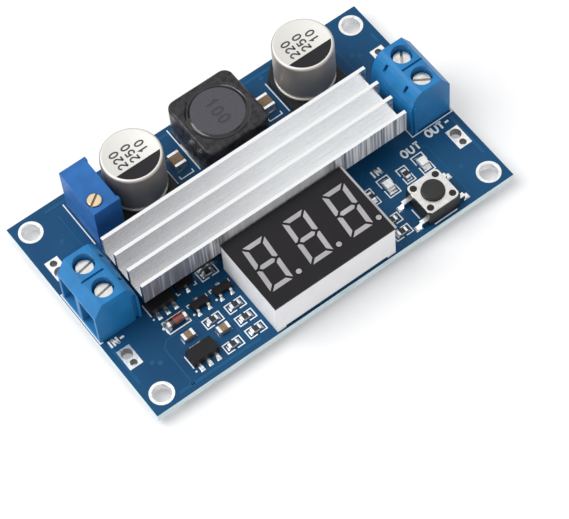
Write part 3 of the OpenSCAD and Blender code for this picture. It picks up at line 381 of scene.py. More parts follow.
def barrel(centre, radius):
    """A plated tube through the board, its wall turned from the inner radius to the hole's own."""
    inner = radius - barrel_wall
    low, high = board_low[2], board_top
    profile = [(inner, low), (inner, high), (radius, high), (radius, low), (inner, low)]
    return lathe(profile, (*centre, 0), even_turn(40))


def plated_holes(kind):
    """One barrel for every round hole that the record's mounts of a kind name."""
    holes = []
    for mount in frame["record"]["mounts"]:
        size = mount["dims"]
        if mount["kind"] == kind == "bolt_pattern":
            reach = size["spacing_x_mm"] * mm / 2, size["spacing_y_mm"] * mm / 2
            corners = [(x * reach[0], y * reach[1]) for x in (-1, 1) for y in (-1, 1)]
            holes += [barrel(corner, size["hole_r_mm"] * mm) for corner in corners]
        if mount["kind"] == kind == "bore":
            holes.append(barrel(mount["pos_m"][:2], size["r_mm"] * mm))
    return holes


pad_tin = tinned("pad_tin", 0.3)
put("plated_holes", plated_holes("bolt_pattern"), pad_tin)
# The wire barrels' tin is darker than the rest: painted shade inside the holes
put("wire_barrels", plated_holes("bore"), tinned("barrel_tin_painted_shade", 0.4, bright=barrel_shaded_grey))
dress(pad_tin, "corner_rings", "wire_pads")


# Printed legend
# White epoxy ink screened onto the mask and baked: outlines around the parts, and plain
# words and signs beside the terminals and the lamps.

ink_rise = 0.05 * mm
ink_line = 0.18 * mm
ink_white = (246, 248, 248)
ink_thin = 0.93
# Type for the words: the size of a sign, the gap between two signs, and the width of a line
label_type = np.array([0.87, 1.27]) * mm, 0.33 * mm, 0.34 * mm
label_out = {"in": 3.68 * mm, "out": 4.0 * mm}
label_shift = {"in": -1.33 * mm, "out": -0.07 * mm}
lamp_type = np.array([0.85, 1.3]) * mm, 0.42 * mm, 0.32 * mm
lamp_word_out = 2.15 * mm
lamp_room = np.array([0.38, 0.85]) * mm
# Room past a resistor along its length, which is over resistor_width, and across it
resistor_width = 0.87 * mm
resistor_room = 1.08 * mm, 0.4 * mm
terminal_room = 0.1 * mm
terminal_stub = 0.5 * mm
tall_ceramic = 1.2 * mm
cup_half = 1.2 * mm
cup_out = 1.95 * mm
cup_arm = 0.6 * mm
# Lines at the push button's two sides, and at its front and rear: how far out, and half the length
button_lines = (0.4 * mm, 1.0 * mm), (0.25 * mm, 2.2 * mm)
diode_room = np.array([0.25, 0.4]) * mm
diode_arm = 0.5
chip_arm = 0.42
narrow_sign = 0.4
corner_half = 1.75 * mm
corner_out = 0.4 * mm
corner_arm = 0.5 * mm
# Lines along the left side of a part, or along both sides: how far out they are and how far they are
# drawn in from the part's front and rear, in millimetres
side_lines = [
    ("trimmer_body", 0.34, 1.2, -0.7, False),
    ("inductor_shield", 0.25, 2.9, 0, False),
    ("input_capacitor_base", 0.35, 2, 1.7, True),
    ("output_capacitor_base", 0.35, 2, 1.7, True),
    ("meter_regulator_body", 0.25, 0, 0, False),
    ("gate_regulator_body", 0.25, 0, 0, False),
]
# Dots: how far they are from the part's front left corner along X and Y, and their radius, in millimetres
corner_dots = [
    ("meter_regulator_body", -0.25, -0.65, 0.17),
    ("gate_regulator_body", -0.25, -0.65, 0.17),
    ("glass_diode_caps", -0.47, 0.98, 0.26),
]
transistor_dot = np.array([-0.24, -0.23, 0.2]) * mm


def arc(centre, radii, start, end, steps=14):
    """Points on a circle or an ellipse, from a start to an end angle in degrees."""
    angle = np.radians(np.linspace(start, end, steps))
    return (np.stack([np.cos(angle), np.sin(angle)], 1) * radii + centre).tolist()


# Strokes of each sign in a box one wide and one high; a stroke that ends where it began is closed
sign_strokes = {
    "I": [[(0.2, 0), (0.2, 1)]],
    "N": [[(0.06, 0), (0.06, 1)], [(0.94, 0), (0.94, 1)], [(0.06, 1), (0.94, 0)]],
    "O": [arc((0.5, 0.5), (0.52, 0.5), 0, 360, 25)],
    "U": [[(0, 1), *arc((0.5, 0.45), (0.5, 0.45), 180, 360), (1, 1)]],
    "T": [[(0, 1), (1, 1)], [(0.5, 0), (0.5, 1)]],
    "+": [[(-0.1, 0.5), (1.1, 0.5)], [(0.5, 0.12), (0.5, 0.88)]],
    "-": [[(0.1, 0.5), (0.9, 0.5)]],
    "0": [arc((0.5, 0.5), (0.42, 0.5), 0, 360, 25)],
    "1": [[(0.2, 0.74), (0.55, 1), (0.55, 0)]],
    "2": [[*arc((0.5, 0.68), (0.42, 0.32), 165, -35), (0.06, 0)], [(0.02, 0), (0.98, 0)]],
    "5": [[(0.88, 1), (0.16, 1), (0.1, 0.54), *arc((0.46, 0.32), (0.44, 0.32), 115, -150)]],
}


def words(text, centre, size, gap, line, rise, height, turn=0.0):
    """Signs side by side around a centre, each stroke a ribbon, the whole turned about Z. Each sign starts
    where the widths and gaps of those before it end."""
    shapes = []
    turned = np.array([[math.cos(turn), math.sin(turn)], [-math.sin(turn), math.cos(turn)]])
    widths = [size[0] * (narrow_sign if sign == "I" else 1) for sign in text]
    starts = np.cumsum([0] + [width + gap for width in widths]) - (sum(widths) + gap * (len(text) - 1)) / 2
    for sign, left in zip(text, starts):
        start = np.array([left, -size[1] / 2])
        for stroke in sign_strokes[sign]:
            path = (np.array(stroke) * size + start) @ turned + np.array(centre)[:2]
            closed = bool(np.allclose(path[0], path[-1]))
            shapes.append(ribbon(path[:-1] if closed else path, line, rise, height, closed))
    return shapes


def solids_of(node):
    """Points of each separate solid in a CAD node: points that share a triangle take the smaller of
    their labels until nothing changes, and each label is a solid."""
    mesh = nodes[node].data
    corners = np.empty(len(mesh.vertices) * 3)
    mesh.vertices.foreach_get("co", corners)
    corners = corners.reshape(-1, 3)
    loops = np.empty(len(mesh.loops), int)
    mesh.loops.foreach_get("vertex_index", loops)
    same = np.unique(np.round(corners / weld_gap), axis=0, return_inverse=True)[1].ravel()
    triangles = same[loops.reshape(-1, 3)]
    label = np.arange(same.max() + 1)
    changed = True
    while changed:
        lower = label.copy()
        np.minimum.at(lower, triangles, label[triangles].min(1, keepdims=True).repeat(3, 1))
        changed = bool((lower != label).any())
        label = lower
    solids = label[same]
    return [corners[solids == s] for s in np.unique(solids)]


def boxes_of(node):
    """Lowest and highest corner of each separate solid in a CAD node."""
    return [(points.min(0), points.max(0)) for points in solids_of(node)]


def ink(*path, closed=False):
    """A printed line through points given in metres."""
    return ribbon(path, ink_line, ink_rise, board_top, closed)


def ink_brackets(low, high, margin, share=chip_arm):
    """Two square brackets around a part, whose arms take up a share each of its long sides."""
    low, high = low[:2] - margin, high[:2] + margin
    long = int(np.argmax(high - low))
    arm = share * (high - low)[long]
    lines = []
    for near, far, way in ((low, high, 1), (high, low, -1)):
        corner = np.array([near, near])
        corner[1, 1 - long] = far[1 - long]
        step = np.zeros(2)
        step[long] = way * arm
        lines.append(ink(corner[0] + step, corner[0], corner[1], corner[1] + step))
    return lines


def ink_dot(x, y, radius):
    """A printed dot: a low disc."""
    profile = [(0, ink_rise), (radius, ink_rise), (radius, 0), (0, 0)]
    return lathe(profile, (x, y, board_top), even_turn(16))


def chip_ink():
    """Brackets around the chip resistors, the glass diode and the lamps, and a word over each lamp."""
    lines = ink_brackets(*np.array(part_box("glass_diode_caps")), diode_room, diode_arm)
    for low, high in boxes_of("resistor_bodies"):
        lines += ink_brackets(low, high, np.where(high[:2] - low[:2] > resistor_width, *resistor_room))
    lamps = sorted(boxes_of("indicator_leds"), key=lambda box: box[0][0])
    for word, (low, high) in zip(("IN", "OUT"), lamps):
        lines += ink_brackets(low, high, lamp_room)
        spot = (low[0] + high[0]) / 2, high[1] + lamp_word_out
        lines += words(word, spot, *lamp_type, ink_rise, board_top)
    return lines


def terminal_ink():
    """A line around each terminal, and a word and a sign beside each of its screws. The line at the input
    stops just past the terminal's front left corner."""
    lines = []
    for end in ("in", "out"):
        low, high = np.array(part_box(end + "_terminal_body"))[:, :2]
        low, high = low - terminal_room, high + terminal_room
        last = low + [terminal_stub, 0] if end == "in" else (high[0], low[1])
        lines.append(ink(high, (low[0], high[1]), low, last, closed=end == "out"))
        for pole, sign, way in (("_minus", "-", -1), ("_plus", "+", 1)):
            axis = np.mean(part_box(end + pole + "_screw"), 0)[:2]
            spot = axis + [label_shift[end], way * label_out[end]]
            lines += words(end.upper() + sign, spot, *label_type, ink_rise, board_top)
    return lines


def part_ink():
    """Lines and dots beside single parts, four lines round the push button, and a cup before each tall
    ceramic capacitor."""
    lines = []
    for node, out, front, rear, both in side_lines:
        low, high = np.array(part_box(node))[:, :2]
        for x in (low[0] - out * mm, high[0] + out * mm)[:1 + both]:
            lines.append(ink((x, high[1] - rear * mm), (x, low[1] + front * mm)))
    for node, x, y, radius in corner_dots:
        low, _ = np.array(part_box(node))
        lines.append(ink_dot(low[0] + x * mm, low[1] + y * mm, radius * mm))
    low, high = np.array(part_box("button_base"))[:, :2]
    middle = (low + high) / 2
    for axis, (out, half) in enumerate(button_lines):
        for level in (low[axis] - out, high[axis] + out):
            path = np.array([middle, middle])
            path[:, axis] = level
            path[:, 1 - axis] += [half, -half]
            lines.append(ink(*path))
    for low, high in boxes_of("ceramic_bodies"):
        if high[2] - low[2] > tall_ceramic:
            x, y = (low[0] + high[0]) / 2, low[1] - cup_out
            left, right = x - cup_half, x + cup_half
            lines.append(ink((left, y + cup_arm), (left, y), (right, y), (right, y + cup_arm)))
    return lines


def transistor_ink():
    """Two corners behind each small transistor and a dot before it. One that reaches back past the heatsink's
    front is turned round: its corners are before it, and it has no dot."""
    lines = []
    for low, high in boxes_of("transistor_bodies"):
        turned = high[1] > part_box("heatsink")[0][1]
        way = -1 if turned else 1
        x, y = (low[0] + high[0]) / 2, (low if turned else high)[1] + way * corner_out
        for side in (-1, 1):
            edge = x + side * corner_half
            lines.append(ink((edge - side * corner_arm, y), (edge, y), (edge, y - way * corner_arm)))
        if not turned:
            lines.append(ink_dot(*(low[:2] + transistor_dot[:2]), transistor_dot[2]))
    return lines


def printed_ink(name, colour):
    """Matt ink with a slightly uneven film."""
    finish, tree, shader = start_finish(name, colour, 0.55)
    film = cloud(place(tree), 0.35 * mm)
    thin = tuple(int(ink_thin * channel) for channel in colour)
    feed(shader, "Base Color", between(film, thin, colour))
    relief(shader, film, 0.003 * mm)
    return finish


legend = chip_ink() + terminal_ink() + part_ink() + transistor_ink()
put("printed_legend", legend, printed_ink("legend_white", ink_white))


# Solder joints
# Reflowed solder on the pads of the surface-mounted parts. It climbs each lead in a hollow
# curve and thins to the pad's edge.

pad_film = 0.03 * mm
solder_grey = (222, 224, 226)
tiny = 1e-9
lamp_joint_sizes = np.array([0.3, 0.45, 0.05, 0.3]) * mm


def joint(low, high, pad_low, pad_high, climb):
    """Solder on one pad: its height falls from the lead's foot as the square of what is left of the way
    to the pad's edge, and the film rounds off to nothing along that edge."""
    lines = []
    for a in (0, 1):
        outer = np.linspace(pad_low[a], low[a], 5), np.linspace(high[a], pad_high[a], 5)
        lines.append(np.unique(np.round(np.concatenate([outer[0], [(low[a] + high[a]) / 2], outer[1]]), 9)))
    flat = np.dstack(np.meshgrid(*lines, indexing="ij"))
    away = np.maximum(np.maximum(low - flat, flat - high), 0)
    reach = np.where(flat < low, low - pad_low, pad_high - high)
    left = np.prod(1 - away / np.maximum(reach, tiny), axis=2)
    inside = np.all((flat > pad_low + tiny) & (flat < pad_high - tiny), axis=2)
    top = board_top + inside * (pad_film + climb * np.clip(left, 0, 1) ** 2)
    under = np.full_like(top, board_top)
    faces = grid(*top.shape)
    below = (np.array(faces) + top.size).tolist()
    return np.vstack([np.dstack([flat, z]).reshape(-1, 3) for z in (top, under)]), faces + below


def joints_of(node, body, foot, toe, side, climb):
    """A joint at the foot of each lead of a node. The lead points away from the nearest solid of body,
    foot is the length that lies on the board, and toe and side are the pad's margins."""
    bodies = boxes_of(body)
    shapes = []
    for low, high in boxes_of(node):
        middle = (low + high)[:2] / 2
        near = min(bodies, key=lambda box: np.linalg.norm((box[0] + box[1])[:2] / 2 - middle))
        offset = (middle - (near[0] + near[1])[:2] / 2) / (near[1] - near[0])[:2]
        axis = int(np.argmax(np.abs(offset)))
        foot_low, foot_high = low[:2].copy(), high[:2].copy()
        pad_low, pad_high = foot_low - side, foot_high + side
        if offset[axis] > 0:
            foot_low[axis] = max(low[axis], high[axis] - foot)
            pad_low[axis], pad_high[axis] = foot_low[axis] - side / 2, high[axis] + toe
        else:
            foot_high[axis] = min(high[axis], low[axis] + foot)
            pad_low[axis], pad_high[axis] = low[axis] - toe, foot_high[axis] + side / 2
        shapes.append(joint(foot_low, foot_high, pad_low, pad_high, climb))
    return shapes


def lamp_joints(foot, toe, side, climb):
    """A joint at each end of an indicator lamp, which lies along Y."""
    shapes = []
    for low, high in boxes_of("indicator_leds"):
        for front, rear, near, far in ((low[1], low[1] + foot, toe, 0), (high[1] - foot, high[1], 0, toe)):
            ends = np.array([[low[0], front], [high[0], rear]])
            shapes.append(joint(*ends, ends[0] - [side, near], ends[1] + [side, far], climb))
    return shapes


# Leads and the body that they belong to, with the foot, toe, side and climb of their joints in millimetres
joint_sizes = [
    ("resistor_ends", "resistor_bodies", 0.35, 0.35, 0.06, 0.28),
    ("ceramic_ends", "ceramic_bodies", 0.45, 0.22, 0.06, 0.4),
    ("gate_regulator_leads", "gate_regulator_body", 0.95, 0.3, 0.14, 0.12),
    ("meter_regulator_leads", "meter_regulator_body", 0.95, 0.3, 0.14, 0.12),
    ("transistor_leads", "transistor_bodies", 0.3, 0.32, 0.14, 0.14),
    ("controller_leads", "controller_body", 0.42, 0.25, 0.06, 0.12),
    ("meter_chip_leads", "meter_chip_body", 0.42, 0.25, 0.08, 0.12),
    ("button_legs", "button_base", 0.95, 0.2, 0.12, 0.16),
    ("input_capacitor_leads", "input_capacitor_base", 0.75, 0.45, 0.25, 0.28),
    ("output_capacitor_leads", "output_capacitor_base", 0.75, 0.45, 0.25, 0.28),
    ("inductor_terminals", "inductor_core", 1.2, 0.12, 0.1, 0.12),
    ("glass_diode_caps", "glass_diode_body", 0.45, 0.4, 0.1, 0.55),
]
solder = tinned("solder", 0.3, 0.008 * mm, 0.45 * mm, solder_grey)
soldered = lamp_joints(*lamp_joint_sizes)
for node, body, *sizes in joint_sizes:
    soldered += joints_of(node, body, *(size * mm for size in sizes))
put("solder_joints", soldered, solder, smooth=60)


# Terminal blocks
# Two screw terminals moulded in blue nylon, each with tinned contacts that go through the board,
# rising clamps of plated steel, and slotted screws that draw the clamps up.

housing_blue = (36, 123, 184)
nickel = (240, 239, 236)
zinc = (176, 178, 180)
plate_edge = 0.05 * mm
# Share of the metal's colour left at a slot's floor by painted shade
slot_painted_shade = 0.6
slot_fade = 0.35 * mm
terminal_screw = {
    "head": 1.4 * mm, "shaft": 1.2 * mm, "chamfer": 0.22 * mm, "half": 0.2 * mm, "depth": 0.45 * mm,
    "pitch": 0.45 * mm, "cut": 0.12 * mm,
}
slot_turns = {"in_plus": 10, "in_minus": 10, "out_plus": 56, "out_minus": -34}


def moulded(name, colour, rough, edge=0.12 * mm, grain=0.006 * mm, flow_shade=0.91, **sockets):
    """Moulded plastic: faint flow marks in the colour, a fine eroded grain, and softened edges."""
    finish, tree, shader = start_finish(name, colour, rough, **({"Specular_IOR_Level": 0.28} | sockets))
    where = place(tree)
    flow = spread(cloud(where, 3 * mm))
    feed(shader, "Base Color", between(flow, shaded(colour, flow_shade), colour))
    spark = cloud(where, 0.16 * mm, 3)
    feed(shader, "Roughness", spread(spark, 0.3, 0.7, rough - 0.08, rough + 0.08))
    relief(shader, spark, grain, edge)
    return finish


def plated(name, colour, rough, slot_mouth=None):
    """Plated metal: slightly clouded, with fine unevenness in the gloss. A slot, given by the height of its
    mouth, gets painted shade that darkens it towards its floor."""
    finish, tree, shader = start_finish(name, colour, rough, 1.0)
    where = place(tree)
    haze = spread(cloud(where, 0.6 * mm, 4))
    bright = between(haze, shaded(colour, 0.88), colour)
    if slot_mouth:
        # Painted shade in the slot: the colour darkens from the mouth down to the floor
        deep = spread(xyz(where)[2], slot_mouth - slot_fade, slot_mouth, 1, 0)
        bright = between(deep, bright, shaded(colour, slot_painted_shade))
    feed(shader, "Base Color", bright)
    feed(shader, "Roughness", spread(haze, 0, 1, rough + 0.07, rough - 0.05))
    relief(shader, cloud(where, 0.12 * mm), 0.002 * mm, plate_edge)
    return finish


def slotted_screw(node, turn, head, shaft, chamfer, half, depth, pitch, cut):
    """A cheese head with a slot across it over a ringed shaft, in the box of a CAD node. Each half of the
    head is a polar grid whose angle runs from asin(half / r) to half a turn less that. The slot's walls
    hang from its straight edge, and the slot's floor is x = s sqrt(R^2 - y^2). The sizes are the head's
    height, the shaft's radius, the head's chamfer, the slot's half width and depth, and the rings' pitch
    and cut. The whole is turned by an angle in degrees."""
    low, high = np.array(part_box(node))
    radius, top, under = (high[0] - low[0]) / 2, high[2], high[2] - head
    floor = top - depth
    across = np.linspace(half, radius - chamfer, 5)
    rows = np.array([(r, top) for r in across] + [(radius, top - chamfer), (radius, floor), (radius, under)])
    start = np.arcsin(np.clip(half / rows[:, :1], 0, 1))
    angle = start + np.linspace(0, 1, 25) * (np.pi - 2 * start)
    crown = polar(rows[:, :1], angle, rows[:, 1:])
    brow = np.vstack([crown[5::-1, 0], crown[1:6, -1]])
    wall = np.stack([brow, brow * [1, 1, 0] + [0, 0, floor]])
    side = np.linspace(-half, half, 3)[:, None]
    reach = np.sqrt(radius ** 2 - side ** 2)
    bed_x = brow[:, 0] / math.sqrt(radius ** 2 - half ** 2) * reach
    bed = np.dstack([bed_x, np.broadcast_to(side, bed_x.shape), np.full_like(bed_x, floor)])
    mouth = np.stack([np.hstack([reach, side, np.full_like(side, z)]) for z in (floor, under)])
    grids = [crown, wall, mouth]
    grids += [piece * [-1, -1, 1] for piece in grids] + [bed]
    shapes = [(piece.reshape(-1, 3), grid(*piece.shape[:2])) for piece in grids]
    rings = 2 * int((under - low[2]) / pitch) + 1
    thread = [(shaft - cut * (i % 2), z) for i, z in enumerate(np.linspace(under, low[2], rings))]
    rim = np.concatenate([angle[-1], [np.pi], angle[-1] + np.pi, [2 * np.pi]])
    shapes.append(lathe([(radius, under), *thread, (0, low[2])], (0, 0, 0), rim))
    c, s = math.cos(math.radians(turn)), math.sin(math.radians(turn))
    turned = np.array([[c, s, 0], [-s, c, 0], [0, 0, 1]])
    centre = np.array([*(low + high)[:2] / 2, 0])
    return [(points @ turned + centre, faces) for points, faces in shapes]


dress(moulded("terminal_nylon", housing_blue, 0.42), "in_terminal_body", "out_terminal_body")
dress(tinned("contact_tin", 0.3), "in_terminal_contacts", "out_terminal_contacts")
clamp_zinc = plated("clamp_zinc", zinc, 0.34)
screw_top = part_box("in_plus_screw")[1][2] - terminal_screw["chamfer"]
screw_nickel = plated("screw_nickel", nickel, 0.24, screw_top)
for pole, slot_turn in slot_turns.items():
    dress(clamp_zinc, pole + "_clamp")
    shape = slotted_screw(pole + "_screw", slot_turn, **terminal_screw)
    screw = put(pole + "_slotted_screw", shape, screw_nickel, pole + "_screw", 30)
    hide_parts(pole + "_screw")


# Power packages
# The switching transistor and the rectifier: flat moulded packages on copper tabs, with tinned
# legs, and beads of white thermal adhesive that carry the heatsink.

package_black = (27, 27, 29)
adhesive_white = (225, 224, 218)
package_epoxy = moulded("package_epoxy", package_black, 0.5, 0.06 * mm)
lead_tin = tinned("lead_tin", 0.26, 0.006 * mm, 0.4 * mm)
dress(package_epoxy, "power_transistor_body", "rectifier_body")
dress(lead_tin, "power_transistor_leads", "rectifier_leads")
dress(moulded("thermal_adhesive", adhesive_white, 0.6, 0.3 * mm, 0.05 * mm), "thermal_pads")


# Heatsink
# A sawn length of extruded aluminium with four fins. The die leaves fine lines along the fins
# and the saw leaves a rougher face at each end.

sink_aluminium = (248, 249, 250)
# Darker grey for painted shade in the channels
sink_shaded_grey = (219, 219, 221)
# Darker grey for the outer faces: painted shade on the same aluminium
sink_side_shaded = (162, 162, 170)
sink_slack = 0.02 * mm
crest_depth = 0.05 * mm
meter_fade = 2.5 * mm
die_lines = (30, 1, 1)
saw_lines = (1, 40, 1)
rub_lines = (1, 1, 60)


def extruded(name, colour, rough, edge):
    """Extruded metal: a fine grain along X that smears the gloss across it, and saw cuts on the ends. The
    channels carry painted shade that darkens them towards -X, while the crests keep the full bright colour.
    The two outer faces are painted a darker grey as shade, with upright rub marks, pale and dull, and a
    painted light ramp that adds to the rub marks towards +X; beside the display the faces are painted evenly
    pale and dull, as light. The grain runs along the cross product of the normal and (0, 1, 1)."""
    finish, tree, shader = start_finish(name, colour, rough, 1.0, Anisotropic_Rotation=0.25)
    low, high = np.array(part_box("heatsink"))
    middle, size = (low + high) / 2, high - low
    normal = add(tree, "NewGeometry")["True Normal"]
    x, y, z = xyz(place(tree, middle.tolist()))
    end = calc("GREATER_THAN", calc("ABSOLUTE", xyz(normal)[0]), 0.7)
    outer = calc("GREATER_THAN", calc("ABSOLUTE", y), size[1] / 2 - sink_slack)
    crest = calc("GREATER_THAN", z, size[2] / 2 - crest_depth)
    lines = cloud(place(tree, stretch=die_lines), 0.14 * mm, 3)
    saw = cloud(place(tree, stretch=saw_lines), 0.12 * mm, 3)
    rubs = cloud(place(tree, stretch=rub_lines), 0.4 * mm, 3)
    marks = add(tree, "Mix", {0: end, 2: lines, 3: saw})[0]
    meter = [corner[0] - middle[0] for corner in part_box("display_shell")]
    after = spread(x, meter[0], meter[0] + meter_fade)
    before = spread(x, meter[1] - meter_fade, meter[1], 1, 0)
    beside = calc("MULTIPLY", after, before)
    # Painted light: a ramp along X that adds pale rub marks towards +X, over the real rub marks
    painted_light_ramp = spread(x, -0.42 * size[0], -0.12 * size[0], -0.08, 0.1)
    rubs_and_painted_light = spread(calc("ADD", rubs, painted_light_ramp), 0.5, 0.7)
    # Painted light: beside the display the outer faces are made evenly pale
    soft = calc("MULTIPLY", beside, spread(rubs, 0.3, 0.7, 0.78, 1.08))
    rubbed_and_painted_light = calc("MULTIPLY", outer, calc("MAXIMUM", rubs_and_painted_light, soft))
    # Painted shade in the channels towards -X; the crests keep the full colour
    unshaded = calc("MAXIMUM", crest, spread(x, -0.5 * size[0], 0.1 * size[0]))
    # The outer faces take the darker grey as painted shade
    plain = between(outer, between(unshaded, sink_shaded_grey, colour), sink_side_shaded)
    # Pale where rubbed, and pale where painted light lies on the outer faces
    feed(shader, "Base Color", between(rubbed_and_painted_light, plain, colour))
    metal = spread(outer, 0, 1, 1, 0.74)
    feed(shader, "Metallic", calc("SUBTRACT", metal, calc("MULTIPLY", rubbed_and_painted_light, 0.55)))
    feed(shader, "Anisotropic", spread(outer, 0, 1, 0.9, 0))
    gloss = spread(marks, 0.3, 0.7, rough + 0.05, rough - 0.05)
    feed(shader, "Roughness", calc("ADD", calc("MULTIPLY", outer, 0.08), gloss))
    grain = add(tree, "VectorMath", {0: normal, 1: (0, 1, 1)}, operation="CROSS_PRODUCT")[0]
    feed(shader, "Tangent", grain)
    fine = calc("MULTIPLY", marks, spread(outer, 0, 1, 0.4, 0))
    deep = calc("MULTIPLY", rubs, spread(beside, 0, 1, 5.0, 1.0))
    relief(shader, calc("ADD", fine, deep), 0.003 * mm, edge)
    return finish


dress(extruded("extruded_aluminium", sink_aluminium, 0.25, 0.06 * mm), "heatsink")


# Electrolytic capacitors
# Drawn aluminium cans crimped round a rubber bung and standing on black plastic feet. The top is
# bare metal with a black printed half-moon on the negative side.

can_bead = 0.3 * mm
can_neck = 0.35 * mm
can_foot = 1.7 * mm
can_round = 0.45 * mm
top_ledge = 0.1 * mm
top_sunk = 0.03 * mm
can_metal = (212, 211, 207)
# Darker, warmer grey for the can's wall: painted shade on the same metal as the top
can_wall_shaded = (178, 171, 165)
wall_metal, top_metal = 0.72, 0.75
wall_rough, top_rough = 0.42, 0.58
moon_black = (24, 23, 26)
moon_radius = 4.5 * mm
moon_chord = 1.9 * mm
print_dark = (58, 57, 60)
print_rise = 0.02 * mm
print_foot = 0.035 * mm
digit_size = np.array([0.9, 1.4]) * mm
digit_gap = 0.36 * mm
digit_line = 0.28 * mm
rating_lines = {"220": -2.2 * mm, "250": 0, "10": 2.1 * mm}
rating_rise = 0.3 * mm
base_black = (30, 30, 31)


def can(low, high):
    """A can as a profile turned about its axis: a round bead at the foot, a crimped neck that opens into the
    wall along half a cosine wave, a straight wall, a round shoulder and a flat top a little lower."""
    radius = (high[0] - low[0]) / 2
    bead = arc((radius - can_bead, low[2] + can_bead), can_bead, -90, 90, 13)
    wave = np.linspace(0, 1, 11)
    neck = radius - can_neck * (0.5 + 0.5 * np.cos(np.pi * wave))
    rise = low[2] + 2 * can_bead + (can_foot - 2 * can_bead) * wave
    shoulder = arc((radius - can_round, high[2] - can_round), can_round, 0, 90, 7)
    ring = [(radius - can_round - top_ledge, high[2] - top_sunk), (0, high[2] - top_sunk)]
    centre = (*((low + high) / 2)[:2], 0)
    return lathe([(0, low[2]), *bead, *zip(neck, rise), *shoulder, *ring], centre, even_turn(96))


def can_finish(name, centre):
    """Bare drawn metal with a printed half-moon: ink where the surface faces up, lies inside a circle and
    lies beyond a chord on the -Y side. The wall is painted darker and warmer than the top, as shade."""
    finish, tree, shader = start_finish(name, can_metal, 0.3, 1.0, Specular_IOR_Level=0.25)
    x, y, _ = xyz(place(tree, centre))
    span = calc("SQRT", calc("ADD", calc("MULTIPLY", x, x), calc("MULTIPLY", y, y)))
    on_top = calc("GREATER_THAN", upward(tree), 0.9)
    disc = calc("MULTIPLY", calc("LESS_THAN", span, moon_radius), on_top)
    moon = calc("MULTIPLY", calc("LESS_THAN", y, -moon_chord), disc)
    drawn = cloud(place(tree, stretch=(1, 1, 30)), 0.25 * mm, 3)
    # The wall takes the darker colour as painted shade
    feed(shader, "Base Color", between(moon, between(on_top, can_wall_shaded, can_metal), moon_black))
    feed(shader, "Metallic", calc("SUBTRACT", spread(on_top, 0, 1, wall_metal, top_metal), moon))
    gloss = spread(on_top, 0, 1, wall_rough, top_rough)
    feed(shader, "Roughness", calc("ADD", gloss, spread(drawn, 0.3, 0.7, 0, 0.06)))
    relief(shader, drawn, 0.004 * mm)
    return finish


base_plastic = moulded("base_plastic", base_black, 0.5)
ratings = []
for stage in ("input", "output"):
    low, high = np.array(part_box(stage + "_capacitor_can"))
    middle = (low + high) / 2
    metal = can_finish(stage + "_can_metal", (*middle[:2], 0))
    shell = put(stage + "_drawn_can", [can(low, high)], metal, smooth=40)
    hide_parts(stage + "_capacitor_can")
    dress(base_plastic, stage + "_capacitor_base")
    dress(lead_tin, stage + "_capacitor_leads")
    for number, shift in rating_lines.items():
        spot = middle[:2] + [shift, rating_rise]
        digits = (digit_size, digit_gap, digit_line, print_rise, high[2] - print_foot)
        ratings += words(number, spot, *digits, math.pi / 2)
put("capacitor_print", ratings, printed_ink("can_print", print_dark))


# Shielded inductor
# A sintered ferrite drum wound with enamelled copper and glued into a square ferrite ring, on two
# tinned plates that take the ends of the wire.

shield_round = 0.45 * mm
shield_corner = 1.6 * mm
bore_radius = 5.1 * mm
bore_chamfer = 0.2 * mm
glue_depth = 0.45 * mm
ring_floor = 0.9 * mm
ferrite_grey = (32, 31, 34)
drum_grey = (80, 78, 86)
copper_brown = (150, 84, 46)
wire_size = 0.5 * mm
mark_type = 1.35 * digit_size, 1.5 * digit_gap, 1.4 * digit_line
mark_foot = 0.005 * mm
mark_grey = (44, 42, 46)
glue_black = (24, 22, 25)


def rounded_square(angle, half, corner):
    """Distance from the middle to a rounded square at each angle: half over the larger of |cos| and |sin| on
    the flats, and on the corners the far root of a circle around the corner's own centre."""
    u, v = np.abs(np.cos(angle)), np.abs(np.sin(angle))
    flat = half / np.maximum(u, v)
    core = half - corner
    bend = core * (u + v) + np.sqrt(np.maximum(corner ** 2 - core ** 2 * (u - v) ** 2, 0))
    return np.where(flat * np.minimum(u, v) <= core, flat, bend)


def ferrite_ring(low, high, steps=160):
    """A square ring: outlines of a rounded square drawn in as the top edge rounds over, then circles down
    the bore's chamfer and wall to a floor."""
    half = (high[0] - low[0]) / 2
    angle = even_turn(steps)
    edge = np.radians(np.linspace(0, 90, 7))
    drawn_in = np.concatenate([[0], shield_round * (1 - np.cos(edge))])
    height = np.concatenate([[low[2]], high[2] - shield_round * (1 - np.sin(edge))])
    outer = np.stack([rounded_square(angle, half - d, shield_corner - d) for d in drawn_in])
    inner = [(bore_radius + bore_chamfer, high[2]), (bore_radius, high[2] - bore_chamfer),
             (bore_radius, low[2] + ring_floor), (0, low[2] + ring_floor)]
    reach = np.vstack([np.zeros((1, steps)), outer, np.repeat([[r] for r, _ in inner], steps, 1)])
    rise = np.concatenate([[low[2]], height, [z for _, z in inner]])
    points = polar(reach, angle, rise[:, None])
    return points.reshape(-1, 3) + [*((low + high) / 2)[:2], 0], grid(*points.shape[:2], around=True)


def glue_ring(centre, inner, outer, top, steps=96):
    """Glue in the gap round the drum: a hollow that sinks by half a sine wave across the gap, more and less
    deep by three sine waves round the ring."""
    angle = even_turn(steps)
    across = np.linspace(0, 1, 13)
    uneven = 0.6 + 0.15 * np.sin(3 * angle + 0.6) + 0.12 * np.sin(5 * angle + 2.1) + 0.08 * np.sin(8 * angle)
    sunk = glue_depth * uneven * np.sin(np.pi * across)[:, None]
    reach = inner + (outer - inner) * across
    points = polar(reach[:, None], angle, top - sunk)
    under = points * [1, 1, 0] + [0, 0, top - 2 * glue_depth]
    shell = np.vstack([points, under[::-1], points[:1]])
    return shell.reshape(-1, 3) + centre, grid(*shell.shape[:2], around=True)


